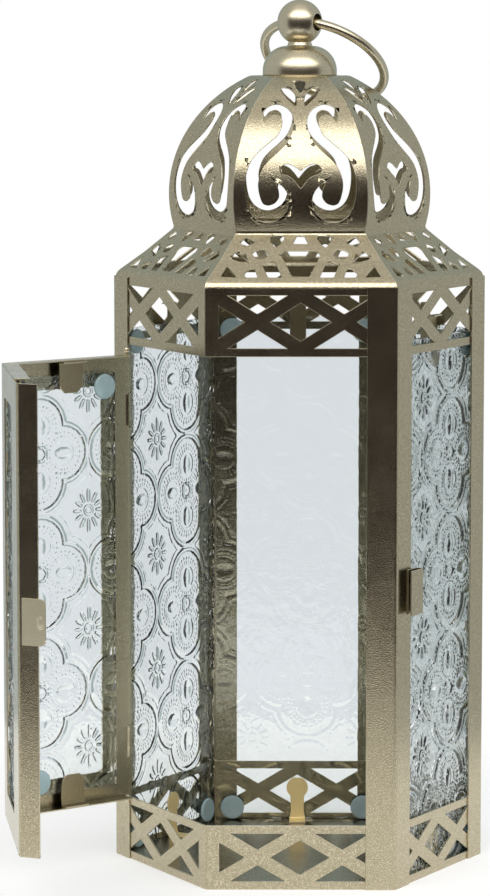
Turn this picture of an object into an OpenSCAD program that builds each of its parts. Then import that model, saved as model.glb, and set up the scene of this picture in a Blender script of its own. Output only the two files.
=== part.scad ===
// Six-sided candle lantern in pierced sheet metal and pressed glass, with a
// two-leaf door that wraps round one corner and a swinging hanging ring.
// The hexagon stands on Z = 0 around the Z axis, with a flat side towards -Y.

/* [Body] */
// Length of one side of the hexagon, measured over the pierced bands
side = 70; // [60:0.5:88]
// Thickness of the sheet metal
sheet = 0.6; // [0.5:0.1:0.9]
// Height of the pierced band round the base
base_h = 24.3; // [20:0.1:30]
// Height at which the upper pierced band begins
eaves_z = 198.2; // [160:0.1:240]
// Height of the upper pierced band
eaves_h = 25.5; // [20:0.1:31]
// Thickness of the floor plate
floor_t = 0.8; // [0.6:0.1:1.2]
// Width of each of the two flanges of a corner post
flange = 10.8; // [8:0.1:12]

/* [Piercing] */
// Width of the crossing bars in the bands
lattice_bar = 5; // [3.5:0.1:6]
// Plain rim above and below the piercings of a band
lattice_rim = 3.1; // [2:0.1:4]
// Plain metal at each end of a band
lattice_end = 5; // [4:0.1:7]
// Steepness of the crossing bars, in band heights across a band's length
lattice_steep = 1.72; // [1.6:0.01:1.85]
// Distance of each crossing from the middle of a side, as a share of it
lattice_cross = 0.226; // [0.21:0.001:0.24]

/* [Roof] */
// Rise of the sloping shoulder above the upper band
shoulder_rise = 18.2; // [14:0.1:22]
// How far the shoulder runs inwards
shoulder_run = 19.4; // [15:0.1:23]
// Radius of the curve of the dome
dome_r = 50.2; // [46:0.1:56]
// How far below its widest level the dome's curve begins, in degrees
dome_tuck = 15; // [8:0.5:20]
// Distance from the axis to each side of the flat crown
crown = 16.2; // [15.6:0.1:22]
// Gap along the seams between roof panels
seam = 0.1; // [0.05:0.05:0.3]

/* [Glass] */
// Thickness of the pressed glass
glass = 3; // [2:0.1:4]
// How far a fixed pane reaches up behind the upper band
pane_lap = 5; // [3:0.1:9]
// Gap between neighbouring fixed panes at their inner edges
pane_gap = 1; // [0.4:0.1:3]
// Diameter of the soft cushioning dots
dot_d = 9.5; // [6:0.1:11]
// Thickness of the cushioning dots
dot_t = 1.2; // [0.6:0.1:1.6]
// Distance of a dot from the edges of its pane
dot_in = 0.4; // [0.2:0.1:2]

/* [Glass tabs] */
// Width of the stem of a tab
tab_w = 6.4; // [4:0.1:8]
// Diameter of the round head of a floor tab
tab_head = 8.6; // [8:0.1:11]
// Height of a floor tab above the floor
tab_h = 17.2; // [12:0.1:20]
// Length of a tab at the head of a fixed pane
top_tab_l = 16; // [12:0.5:18]
// Width of a door tab
door_tab_w = 10.5; // [7:0.1:12]
// Length of a door tab
door_tab_l = 12; // [9:0.1:14]

/* [Door] */
// Gap between the door and the base band
door_gap_low = 1.3; // [0.8:0.1:2.5]
// Gap between the door and the upper band
door_gap_top = 3.3; // [2:0.1:4.5]
// Gap between the closed door and the post faces behind it
door_clear = 0.3; // [0.3:0.05:0.6]
// How far the door stands open at rest, in degrees
door_open = 82; // [30:1:150]
// Distance of the hinge line from its corner
hinge_in = 13.5; // [11.5:0.1:15]
// Width of the frame strip beside the hinge
strip_hinge = 13.6; // [12:0.1:16]
// Width of the frame strips on both sides of the bend
strip_bend = 12; // [9:0.1:14]
// Width of the frame strip at the free edge
strip_free = 22; // [19:0.1:25]
// Height of the frame strips along the top and the bottom
strip_end = 11; // [9:0.1:14]
// How far the door panes lap behind the frame strips
door_lap = 5; // [3:0.1:6]
// Depth of the stiffening flanges along the top and the bottom
door_return = 6.5; // [5:0.1:8]
// Width of the lip that folds round the latch post
lip = 7.3; // [5:0.1:7.5]

/* [Hinge and latch] */
// Radius of the hinge pin
pin_r = 0.7; // [0.5:0.05:0.9]
// Running clearance of the door barrel round the pin
pin_fit = 0.05; // [0.02:0.01:0.08]
// Slack of the rolled barrel: how much its wall exceeds the sheet's thickness
barrel_slack = 0.05; // [0:0.05:0.2]
// Length of each knuckle
knuckle_h = 12; // [8:0.5:18]
// Distance of each knuckle from the end of the door
knuckle_in = 15; // [10:0.5:40]
// Width of the leaf that joins a knuckle to its post
knuckle_leaf = 8; // [6:0.1:8.5]
// Height of the middle of the latch
latch_z = 110.5; // [70:0.5:140]
// Height of the latch plates
latch_h = 16.8; // [10:0.1:24]
// How far the tongue reaches past the lip
tongue_reach = 3; // [2:0.1:3.5]
// Distance of the mouth of the catch from its corner
catch_in = 5.5; // [5:0.1:7]
// Length of the catch
catch_l = 9.5; // [8.5:0.1:12]
// Clear height inside the catch
catch_gap = 1.95; // [1.9:0.05:2.4]
// Thickness of the strip under the catch
catch_foot = 0.5; // [0.4:0.05:0.6]
// Radius of the tongue's corners
tongue_round = 2; // [1:0.1:3]

/* [Finial and ring] */
// Radius of the cap at its rim
cap_r = 14; // [12:0.1:15.5]
// Height of the cap
cap_h = 11.1; // [10:0.1:14]
// Radius of the cap's shoulder
cap_round = 9.4; // [8:0.1:9.8]
// Wall of the cap
cap_t = 0.8; // [0.6:0.1:1.5]
// Radius of the ball
ball_r = 8.5; // [7.5:0.1:10]
// Radius of the collar under the ball
collar_r = 4.7; // [4:0.1:6]
// Radius of the hole through the ball
ball_bore = 3.2; // [3:0.05:3.8]
// Radius of the ring's wire
wire_r = 1.75; // [1.4:0.05:2]
// Radius of the ring at the middle of its wire
ring_r = 24; // [21:0.1:28]
// Direction of the hole through the ball, in degrees from +X
ring_turn = -31; // [-90:1:90]
// Gap between the resting ring and the dome or cap under it
ring_gap = 0.8; // [0.4:0.1:3]
// Radius of the screw that holds the finial
screw_r = 2; // [1.5:0.1:2.5]
// Length of the screw's thread inside the ball
screw_grip = 4.2; // [3:0.1:4.4]
// Radius of the washer under the crown
washer_r = 11; // [8:0.1:13]
// Thickness of the washer
washer_t = 1; // [0.6:0.1:1.5]
// Width of the nut across its flats
nut_flats = 7; // [6.5:0.1:8]
// Height of the nut
nut_h = 3.2; // [2.5:0.1:4]

/* [Hidden] */
apothem = side * cos(30);
inner = apothem - sheet;
post_out = apothem + sheet;
post_top = eaves_z + eaves_h;
door_in = post_out + door_clear;
door_out = door_in + sheet;
door_z0 = base_h + door_gap_low;
door_z1 = eaves_z - door_gap_top;
crown_foot_r = apothem - shoulder_run;
crown_foot_z = post_top + shoulder_rise;
dome_x = crown_foot_r - dome_r * cos(dome_tuck);
dome_z = crown_foot_z + dome_r * sin(dome_tuck);
crown_z = dome_z + dome_r * sin(acos((crown - dome_x) / dome_r));
gore_w = 2 * crown_foot_r * tan(30);
gore_h = crown_z - crown_foot_z;
slope = atan2(shoulder_rise, shoulder_run);
shoulder_l = norm([shoulder_rise, shoulder_run]);
pane_in = inner - glass;
pane_w = 2 * pane_in * tan(30) - pane_gap;
pane_top = eaves_z + pane_lap;
barrel_t = sheet + barrel_slack;
barrel_r = pin_r + pin_fit + barrel_t;
pin_bead = barrel_r - 0.15;
hinge_x = hinge_in - side / 2;
hinge_d = door_in + barrel_r;
free_x = side / 2 - flange - 1.2;
play = 0.3;
snug = 0.01;
ball_z = crown_z + cap_h + ball_r + play;
sag = ring_r - sqrt(ring_r * ring_r - ball_r * ball_r);
ring_drop = ring_r - 0.3 * sag;
fine = 96;

// Sides of the hexagon, counted anticlockwise from the one towards -Y
FRONT = 0;
FRONT_RIGHT = 1;
BACK_RIGHT = 2;
BACK = 3;
BACK_LEFT = 4;
FRONT_LEFT = 5;

// Point at distance d from the axis and x along side k, seen from above
function at_side(k, x, d) = [
    x * cos(60 * k) + d * sin(60 * k),
    x * sin(60 * k) - d * cos(60 * k)
];
hinge = at_side(FRONT_LEFT, hinge_x, hinge_d);

// Height of a point over the dome and its flat crown, and over the cap
function over_dome(p) = max(
    p[2] - crown_z,
    max([for (k = [0 : 5])
        norm([max(p[0] * sin(60 * k) - p[1] * cos(60 * k) - dome_x, 0), p[2] - dome_z]) - dome_r])
);
function over_cap(p) = max(norm([p[0], p[1]]) - cap_r, p[2] - crown_z - cap_h);

// Point of the ring's wire at angle t when the ring leans by angle a from straight down
function ring_point(a, t) =
    let (x = ring_r * cos(t), s = ring_drop - ring_r * sin(t), y = s * sin(a))
    [x * cos(ring_turn) - y * sin(ring_turn), x * sin(ring_turn) + y * cos(ring_turn),
     ball_z - s * cos(a)];
function ring_clear(a) = min([for (t = [0 : 5 : 355])
    let (p = ring_point(a, t)) min(over_dome(p), over_cap(p)) - wire_r]);

// The resting ring leans just far enough to clear what lies under it
function rest_lean(a) = ring_clear(a) >= ring_gap ? a : rest_lean(a + 0.5);
ring_lean = rest_lean(20);

// Smooth curve through points, each of which may carry a width
function between(p, i, t) =
    let (a = p[max(i - 1, 0)], b = p[i], c = p[i + 1], d = p[min(i + 2, len(p) - 1)])
    b + (c - a) * t / 2 + (2 * a - 5 * b + 4 * c - d) * t * t / 2
    + (3 * b - a - 3 * c + d) * t * t * t / 2;
function curve(p, steps) = [
    for (i = [0 : len(p) - 2]) for (k = [0 : steps - 1]) between(p, i, k / steps),
    p[len(p) - 1]
];
function aside(p, i, hand) =
    let (a = p[max(i - 1, 0)], b = p[min(i + 1, len(p) - 1)], run = [b[0] - a[0], b[1] - a[1]])
    [p[i][0], p[i][1]] + hand * p[i][2] / 2 * [-run[1], run[0]] / norm(run);
function stroke(p) = concat(
    [for (i = [0 : len(p) - 1]) aside(p, i, 1)],
    [for (i = [len(p) - 1 : -1 : 0]) aside(p, i, -1)]
);
function stretch(p, w, h) = [for (q = p) [q[0] * w / 100, q[1] * h / 100, q[2] * w / 100]];
function flip(p) = [for (i = [len(p) - 1 : -1 : 0]) [-p[i][0], p[i][1]]];

// Piercings of the dome: x, height and width in hundredths of the panel's foot and height
SCROLL = [
    [28, 71.4, 1], [25.4, 77, 6.5], [18.3, 79.3, 7.8], [11.3, 76, 8.4], [9.7, 69.6, 8.8],
    [13.4, 61.5, 9.3], [20.4, 55.6, 10], [28.4, 49.8, 10.4], [34.6, 43, 10.4],
    [37.9, 31, 10], [34.6, 17.6, 11.6], [26.3, 12.8, 13.2], [17.2, 15.5, 11.6],
    [13.1, 22.2, 8], [14.9, 28.6, 4.4], [18.6, 32.4, 1]
];
PETAL = [[15, 92.2, 2], [10.4, 90, 6.6], [6.3, 86.2, 6.2], [3.6, 81.4, 1.2]];
BROW_TOP = [[0, 40.2], [4.2, 42.9], [9.5, 44.8], [13.9, 43.9], [16.6, 41.1]];
BROW_LOW = [[16.6, 41.1], [14.7, 38.6], [9.5, 37.3], [5, 34.3], [0, 29.1]];
DROP = [[0, 89.4], [2, 91.5], [4.2, 95.5], [2.8, 97.2], [0, 97.6]];

// Cells of the shoulder's mosaic: x in lengths of a side, height from 0 to 1
CELLS = [
    [[0.085, 0.915], [0.090, 0.972], [0.160, 0.958], [0.157, 0.853], [0.133, 0.746], [0.112, 0.789]],
    [[0.236, 0.845], [0.287, 0.949], [0.316, 0.831], [0.291, 0.761]],
    [[0.170, 0.606], [0.192, 0.713], [0.234, 0.685], [0.254, 0.634], [0.236, 0.535], [0.189, 0.535]],
    [[0.280, 0.431], [0.269, 0.442], [0.316, 0.620], [0.342, 0.662], [0.363, 0.535]],
    [[0.333, 0.166], [0.385, 0.386], [0.418, 0.177]],
    [[0.225, 0.166], [0.240, 0.330], [0.263, 0.338], [0.294, 0.239], [0.287, 0.166]],
    [[0.098, 0.166], [0.136, 0.479], [0.151, 0.507], [0.200, 0.408], [0.170, 0.166]]
];
MIDDLE_CELLS = [
    [[0.040, 0.817], [0.020, 0.958]],
    [[0.044, 0.183], [0.103, 0.606], [0.082, 0.685]]
];

// ---- shared shapes -------------------------------------------------------

// Places a child drawn for the side towards -Y on side k
module on_side(k) {
    rotate([0, 0, 60 * k])
        children();
}

// Stands a flat outline up on the side towards -Y, its inner face at distance d
module upright(d, thick) {
    translate([0, -d, 0])
        rotate([90, 0, 0])
            linear_extrude(height = thick)
                children();
}

module hexagon(across) {
    circle(r = across / cos(30), $fn = 6);
}

module hex_wall(across, thick, z0, z1) {
    translate([0, 0, z0])
        linear_extrude(height = z1 - z0)
            difference() {
                hexagon(across + thick);
                hexagon(across);
            }
}

// Openings of a pierced band: two crossings, with a lozenge between them
module lattice(w, h) {
    tilt = lattice_steep * h / w;
    cross = lattice_cross * w;
    rise = lattice_bar / 2 * sqrt(1 + tilt * tilt);
    mid = h / 2;
    half = cross - rise / tilt;
    reach = mid - lattice_rim - rise;
    edge = w / 2 - lattice_end;
    polygon([[-half, mid], [0, mid + half * tilt], [half, mid], [0, mid - half * tilt]]);
    for (hand = [-1, 1], up = [-1, 1])
        polygon([
            [hand * cross, mid + up * rise],
            [hand * cross - reach / tilt, mid + up * (mid - lattice_rim)],
            [hand * cross + reach / tilt, mid + up * (mid - lattice_rim)]
        ]);
    for (hand = [-1, 1])
        polygon([
            [hand * (cross + rise / tilt), mid],
            [hand * edge, mid + (edge - cross - rise / tilt) * tilt],
            [hand * edge, mid - (edge - cross - rise / tilt) * tilt]
        ]);
}

module tube(r_out, r_in, z0, z1) {
    translate([0, 0, z0])
        difference() {
            cylinder(r = r_out, h = z1 - z0, $fn = fine);
            translate([0, 0, -1])
                cylinder(r = r_in, h = z1 - z0 + 2, $fn = fine);
        }
}

// ---- base ----------------------------------------------------------------

module base_band() {
    color("#b9ab8c")
        difference() {
            hex_wall(inner, sheet, 0, base_h);
            for (k = [0 : 5])
                on_side(k)
                    upright(inner - 1, sheet + 2)
                        lattice(side, base_h);
        }
}

module floor_plate() {
    color("#a2957a")
        linear_extrude(height = floor_t)
            hexagon(inner);
}

// ---- corner posts --------------------------------------------------------

// Post at the corner that ends side k, seen anticlockwise
module post(k) {
    color("#b9ab8c")
        intersection() {
            hex_wall(apothem, sheet, 0, post_top);
            linear_extrude(height = post_top)
                polygon([
                    at_side(k, side / 2 - flange, apothem - 1),
                    at_side(k, side / 2 - flange, post_out + 1),
                    at_side(k, side / 2 + 2, post_out + 2),
                    at_side(k + 1, -side / 2 - 2, post_out + 2),
                    at_side(k + 1, flange - side / 2, post_out + 1),
                    at_side(k + 1, flange - side / 2, apothem - 1)
                ]);
        }
}

// ---- roof ----------------------------------------------------------------

// Section of a roof side: band, shoulder, curved dome and flat crown
module roof_section() {
    low = sheet * tan((90 - slope) / 2);
    polygon([
        [inner, eaves_z],
        [apothem, eaves_z],
        [apothem, post_top],
        [crown_foot_r, crown_foot_z],
        [crown_foot_r - sheet, crown_foot_z],
        [crown_foot_r - sheet, crown_foot_z - sheet * tan(slope) / 2],
        [inner, post_top - low]
    ]);
    intersection() {
        translate([dome_x, dome_z])
            difference() {
                circle(r = dome_r, $fn = fine);
                circle(r = dome_r - sheet, $fn = fine);
            }
        translate([crown - sheet, crown_foot_z - sheet])
            square([dome_r, gore_h + sheet]);
    }
    translate([0, crown_z - sheet])
        square([crown, sheet]);
}

module dome_piercings() {
    for (hand = [0, 1])
        mirror([hand, 0]) {
            polygon(stroke(curve(stretch(SCROLL, gore_w, gore_h), 3)));
            polygon(stroke(curve(stretch(PETAL, gore_w, gore_h), 3)));
        }
    brow = concat(curve(BROW_TOP, 3), curve(BROW_LOW, 3));
    drop = curve(DROP, 2);
    scale_to = [gore_w / 100, gore_h / 100];
    polygon([for (q = concat(brow, flip(brow))) [q[0] * scale_to[0], q[1] * scale_to[1]]]);
    polygon([for (q = concat(drop, flip(drop))) [q[0] * scale_to[0], q[1] * scale_to[1]]]);
}

module shoulder_piercings() {
    for (hand = [-1, 1], cell = CELLS)
        polygon([for (q = cell) [hand * q[0] * side, q[1] * shoulder_l]]);
    for (cell = MIDDLE_CELLS)
        polygon([for (q = concat(cell, flip(cell))) [q[0] * side, q[1] * shoulder_l]]);
}

module roof_side(k) {
    color("#c9bd9c")
        on_side(k)
            difference() {
                intersection() {
                    rotate([90, 0, -90])
                        linear_extrude(height = 2 * side, center = true)
                            roof_section();
                    linear_extrude(height = crown_z + 1)
                        polygon([[0, -seam], [-2 * side * tan(30) + seam, -2 * side],
                                 [2 * side * tan(30) - seam, -2 * side]]);
                }
                upright(inner - 1, sheet + 2)
                    translate([0, eaves_z])
                        lattice(side, eaves_h);
                translate([0, -apothem, post_top])
                    rotate([slope, 0, 0])
                        linear_extrude(height = 6 * sheet, center = true)
                            shoulder_piercings();
                translate([0, 0, crown_foot_z])
                    upright(crown / 2, side)
                        dome_piercings();
                cylinder(r = screw_r + play, h = crown_z + 2, $fn = fine);
            }
}

// ---- fixed glass ---------------------------------------------------------

module pane(k) {
    color("#b7cfca", 0.5)
        on_side(k)
            translate([-pane_w / 2, -inner, floor_t])
                cube([pane_w, glass, pane_top - floor_t]);
}

// Keyhole-shaped tab that rises from the floor against the glass
module floor_tab(k) {
    neck = tab_h - tab_head / 2;
    color("#c8a95c")
        on_side(k)
            union() {
                translate([0, 0, floor_t])
                    upright(pane_in - sheet, sheet) {
                        translate([-tab_w / 2, 0])
                            square([tab_w, neck]);
                        translate([0, neck])
                            circle(d = tab_head, $fn = fine);
                    }
                translate([-tab_w / 2, sheet - pane_in, floor_t])
                    cube([tab_w, tab_w, sheet]);
            }
}

// Tab that hangs behind the upper band and holds the head of the glass
module top_tab(k) {
    low = pane_top - top_tab_l / 2;
    high = pane_top + top_tab_l / 2;
    color("#b9a878")
        on_side(k)
            union() {
                upright(pane_in - sheet, sheet) {
                    translate([-tab_w / 2, low])
                        square([tab_w, high - low]);
                    translate([0, low])
                        circle(d = tab_w, $fn = fine);
                }
                translate([-tab_w / 2, -inner, high - sheet])
                    cube([tab_w, glass + sheet, sheet]);
            }
}

module pane_dots() {
    inset = dot_d / 2 + dot_in;
    color("#8fb6bb", 0.7)
        for (k = [FRONT_RIGHT : BACK_LEFT], hand = [-1, 1], z = [floor_t + inset, pane_top - inset])
            on_side(k)
                translate([hand * (pane_w / 2 - inset - dot_t), 0, z])
                    upright(pane_in - dot_t, dot_t)
                        circle(d = dot_d, $fn = fine);
}

// ---- door ----------------------------------------------------------------

// Turns the door from its closed place to where it stands open
module swung() {
    translate([hinge[0], hinge[1], 0])
        rotate([0, 0, -door_open])
            translate([-hinge[0], -hinge[1], 0])
                children();
}

// Plan of the two leaves and the lip, from a given place on the first side to one on the third
module door_reach(from_x, to_x, deep) {
    polygon([
        at_side(FRONT_LEFT, from_x, door_in - deep),
        at_side(FRONT_LEFT, from_x, door_out + 2),
        at_side(FRONT_LEFT, side / 2 + 3, door_out + 6),
        at_side(FRONT, side / 2 + 3, door_out + 6),
        at_side(FRONT_RIGHT, to_x, door_out + 2),
        at_side(FRONT_RIGHT, to_x, door_in - deep)
    ]);
}

module door_window(x0, x1) {
    upright(door_in - 1, sheet + 2)
        translate([x0, door_z0 + strip_end])
            square([x1 - x0, door_z1 - door_z0 - 2 * strip_end]);
}

// Stiffening flange bent inwards along the top or bottom of both leaves
module door_flange(z) {
    translate([0, 0, z])
        linear_extrude(height = sheet)
            intersection() {
                difference() {
                    hexagon(door_in + sheet / 2);
                    hexagon(door_in - door_return);
                }
                polygon([
                    at_side(FRONT_LEFT, hinge_x + 3, door_in - door_return - 1),
                    at_side(FRONT_LEFT, hinge_x + 3, door_out),
                    at_side(FRONT_LEFT, side / 2 + 3, door_out + 3),
                    at_side(FRONT, free_x, door_out),
                    at_side(FRONT, free_x, door_in - door_return - 1)
                ]);
            }
}

module door_frame() {
    knuckles = [door_z0 + knuckle_in, door_z1 - knuckle_in - knuckle_h];
    color("#b9ab8c")
        swung()
            difference() {
                union() {
                    intersection() {
                        hex_wall(door_in, sheet, door_z0, door_z1);
                        linear_extrude(height = eaves_z)
                            door_reach(hinge_x, lip - side / 2, 2);
                    }
                    door_flange(door_z0);
                    door_flange(door_z1 - sheet);
                    translate([hinge[0], hinge[1], 0])
                        tube(barrel_r, pin_r + pin_fit, door_z0, door_z1);
                }
                on_side(FRONT_LEFT)
                    door_window(hinge_x + strip_hinge, side / 2 - strip_bend);
                door_window(strip_bend - side / 2, side / 2 - strip_free);
                for (z = knuckles)
                    translate([hinge[0], hinge[1], z - play])
                        cylinder(r = barrel_r + play, h = knuckle_h + 2 * play, $fn = fine);
            }
}

module door_pane(k, x0, x1) {
    color("#b7cfca", 0.5)
        swung()
            on_side(k)
                translate([x0 - door_lap, -door_in, door_z0 + strip_end - door_lap])
                    cube([
                        x1 - x0 + 2 * door_lap,
                        glass,
                        door_z1 - door_z0 - 2 * (strip_end - door_lap)
                    ]);
}

// Middles of the two door windows
side_mid = (hinge_x + strip_hinge + side / 2 - strip_bend) / 2;
front_mid = (strip_bend - strip_free) / 2;

// One tab of the door, drawn standing on z = 0 with its foot under the flange
module door_tab() {
    upright(door_in - glass - sheet, sheet) {
        translate([-door_tab_w / 2, 0])
            square([door_tab_w, door_tab_l - door_tab_w / 2]);
        translate([0, door_tab_l - door_tab_w / 2])
            circle(d = door_tab_w, $fn = fine);
    }
    translate([-door_tab_w / 2, glass - door_in, 0])
        cube([door_tab_w, door_return - glass - sheet, sheet]);
}

module door_tabs(low) {
    z = low ? door_z0 + sheet : door_z1 - sheet;
    color("#b9a878")
        swung()
            for (place = [[FRONT_LEFT, side_mid], [FRONT, front_mid]])
                on_side(place[0])
                    translate([place[1], 0, z])
                        mirror([0, 0, low ? 0 : 1])
                            door_tab();
}

module door_dots() {
    inset = dot_d / 2 + dot_in;
    z_low = door_z0 + strip_end - door_lap + inset;
    z_top = door_z1 - strip_end + door_lap - inset;
    side_x = [hinge_x + strip_hinge - door_lap + inset, side / 2 - strip_bend + door_lap - inset];
    front_x = [strip_bend - side / 2 - door_lap + inset, side / 2 - strip_free + door_lap - inset];
    color("#8fb6bb", 0.7)
        swung()
            for (spot = [[FRONT_LEFT, side_x[0], z_top], [FRONT_LEFT, side_x[1], z_low],
                         [FRONT, front_x[0], z_low], [FRONT, front_x[1], z_top]])
                on_side(spot[0])
                    translate([spot[1], 0, spot[2]])
                        upright(door_in - glass - dot_t, dot_t)
                            circle(d = dot_d, $fn = fine);
}

// ---- hinge and latch -----------------------------------------------------

module hinge_knuckles() {
    color("#b9ab8c")
        for (z = [door_z0 + knuckle_in, door_z1 - knuckle_in - knuckle_h])
            difference() {
                union() {
                    translate([hinge[0], hinge[1], z])
                        cylinder(r = barrel_r, h = knuckle_h, $fn = fine);
                    on_side(FRONT_LEFT)
                        translate([hinge_x - knuckle_leaf, -post_out - sheet, z])
                            cube([knuckle_leaf, sheet, knuckle_h]);
                }
                translate([hinge[0], hinge[1], z - 1])
                    cylinder(r = pin_r + snug, h = knuckle_h + 2, $fn = fine);
            }
}

module hinge_pin() {
    color("#d8cba4")
        translate([hinge[0], hinge[1], 0]) {
            translate([0, 0, door_z0 - pin_bead])
                cylinder(r = pin_r, h = door_z1 - door_z0 + 2 * pin_bead, $fn = fine);
            for (z = [door_z0 - play - pin_bead, door_z1 + play + pin_bead])
                translate([0, 0, z])
                    sphere(r = pin_bead, $fn = fine);
        }
}

module latch_tongue() {
    tip = lip + tongue_reach - side / 2;
    color("#c9bd9c")
        swung()
            on_side(FRONT_RIGHT)
                upright(door_out, sheet)
                    union() {
                        translate([1 - side / 2, latch_z - latch_h / 2])
                            square([tip + side / 2 - 1 - tongue_round, latch_h]);
                        for (up = [-1, 1])
                            translate([tip - tongue_round, latch_z + up * (latch_h / 2 - tongue_round)])
                                circle(r = tongue_round, $fn = fine);
                        translate([tip - tongue_round, latch_z - latch_h / 2 + tongue_round])
                            square([tongue_round, latch_h - 2 * tongue_round]);
                    }
}

// Flat pocket folded from one strip, open towards the corner
module latch_catch() {
    near = lip + play + 0.5;
    high = catch_foot + catch_gap;
    color("#c9bd9c")
        on_side(FRONT_RIGHT)
            translate([-side / 2, -post_out, latch_z - latch_h / 2])
                linear_extrude(height = latch_h)
                    mirror([0, 1])
                        difference() {
                            translate([catch_in, 0])
                                square([catch_l, high + sheet]);
                            translate([catch_in - 1, catch_foot])
                                square([catch_l + 1 - sheet, catch_gap]);
                            translate([catch_in - 1, -1])
                                square([near - catch_in + 1, catch_foot + 2]);
                        }
}

// ---- finial and ring -----------------------------------------------------

// Section of the cap's outside or inside, grown inwards by a wall
module cap_section(wall) {
    intersection() {
        union() {
            square([cap_r - wall, cap_h - cap_round]);
            translate([cap_r - cap_round, cap_h - cap_round])
                circle(r = cap_round - wall, $fn = fine);
            square([cap_r - cap_round, cap_h - wall]);
        }
        square([cap_r + 1, cap_h]);
    }
}

module cap() {
    color("#cfc4a2")
        translate([0, 0, crown_z])
            rotate_extrude($fn = fine)
                difference() {
                    cap_section(0);
                    translate([0, -snug])
                        cap_section(cap_t);
                    square([screw_r + play, cap_h + 1]);
                }
}

module finial_ball() {
    foot = crown_z + cap_h;
    color("#cfc4a2")
        difference() {
            union() {
                translate([0, 0, ball_z])
                    sphere(r = ball_r, $fn = fine);
                translate([0, 0, foot])
                    cylinder(r = collar_r, h = ball_z - foot - ball_r / 2, $fn = fine);
            }
            translate([0, 0, ball_z])
                rotate([0, 90, ring_turn])
                    cylinder(r = ball_bore, h = 4 * ball_r, center = true, $fn = fine);
            translate([0, 0, foot - 1])
                cylinder(r = screw_r + snug, h = screw_grip + 1 + play, $fn = fine);
            translate([0, 0, foot - ball_r])
                cylinder(r = 2 * ball_r, h = ball_r);
        }
}

module finial_screw() {
    low = crown_z - sheet - washer_t - nut_h - 2;
    color("#9a9484")
        translate([0, 0, low])
            cylinder(r = screw_r, h = crown_z + cap_h + screw_grip - low, $fn = fine);
}

module finial_washer() {
    color("#9a9484")
        tube(washer_r, screw_r + play, crown_z - sheet - washer_t, crown_z - sheet);
}

module finial_nut() {
    color("#9a9484")
        translate([0, 0, crown_z - sheet - washer_t - nut_h])
            difference() {
                cylinder(r = nut_flats / 2 / cos(30), h = nut_h, $fn = 6);
                translate([0, 0, -1])
                    cylinder(r = screw_r + snug, h = nut_h + 2, $fn = fine);
            }
}

module hanging_ring() {
    color("#c9bd9c")
        translate([0, 0, ball_z])
            rotate([0, 0, ring_turn])
                rotate([ring_lean, 0, 0])
                    translate([0, 0, -ring_drop])
                        rotate([90, 0, 0])
                            rotate_extrude($fn = fine)
                                translate([ring_r, 0])
                                    circle(r = wire_r, $fn = 48);
}

// ---- assembly ------------------------------------------------------------

base_band();
floor_plate();
post(BACK_LEFT);  // post_left
post(BACK);  // post_back_left
post(BACK_RIGHT);  // post_back_right
post(FRONT_RIGHT);  // post_right
post(FRONT);  // post_front_right
roof_side(FRONT);  // roof_front
roof_side(FRONT_RIGHT);  // roof_front_right
roof_side(BACK_RIGHT);  // roof_back_right
roof_side(BACK);  // roof_back
roof_side(BACK_LEFT);  // roof_back_left
roof_side(FRONT_LEFT);  // roof_front_left
pane(FRONT_RIGHT);  // pane_front_right
pane(BACK_RIGHT);  // pane_back_right
pane(BACK);  // pane_back
pane(BACK_LEFT);  // pane_back_left
floor_tab(FRONT_RIGHT);  // floor_tab_front_right
floor_tab(BACK_RIGHT);  // floor_tab_back_right
floor_tab(BACK);  // floor_tab_back
floor_tab(BACK_LEFT);  // floor_tab_back_left
top_tab(FRONT_RIGHT);  // top_tab_front_right
top_tab(BACK_RIGHT);  // top_tab_back_right
top_tab(BACK);  // top_tab_back
top_tab(BACK_LEFT);  // top_tab_back_left
pane_dots();
door_frame();
door_pane(FRONT_LEFT, hinge_x + strip_hinge, side / 2 - strip_bend);  // door_pane_side
door_pane(FRONT, strip_bend - side / 2, side / 2 - strip_free);  // door_pane_front
door_tabs(false);  // door_tabs_top
door_tabs(true);  // door_tabs_low
door_dots();
latch_tongue();
hinge_knuckles();
hinge_pin();
latch_catch();
cap();
finial_ball();
finial_screw();
finial_washer();
finial_nut();
hanging_ring();
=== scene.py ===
# %% [markdown]
# # A candle lantern of pierced sheet metal and pressed glass
# The lantern is a six-sided box of thin satin gold sheet. Pierced bands run round its foot and its
# eaves, six pierced roof panels curve up into a dome, and a door of two leaves wraps round one corner.
# Glass with a pressed pattern fills the sides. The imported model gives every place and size, and this
# lesson builds the finer surfaces round it: rounded folds, cut edges, rolled hinges and raised glass.

# %% Load the frame
import math

import bmesh
import bpy
import numpy as np
from mathutils import Matrix, Vector
from mathutils.geometry import delaunay_2d_cdt


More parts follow.
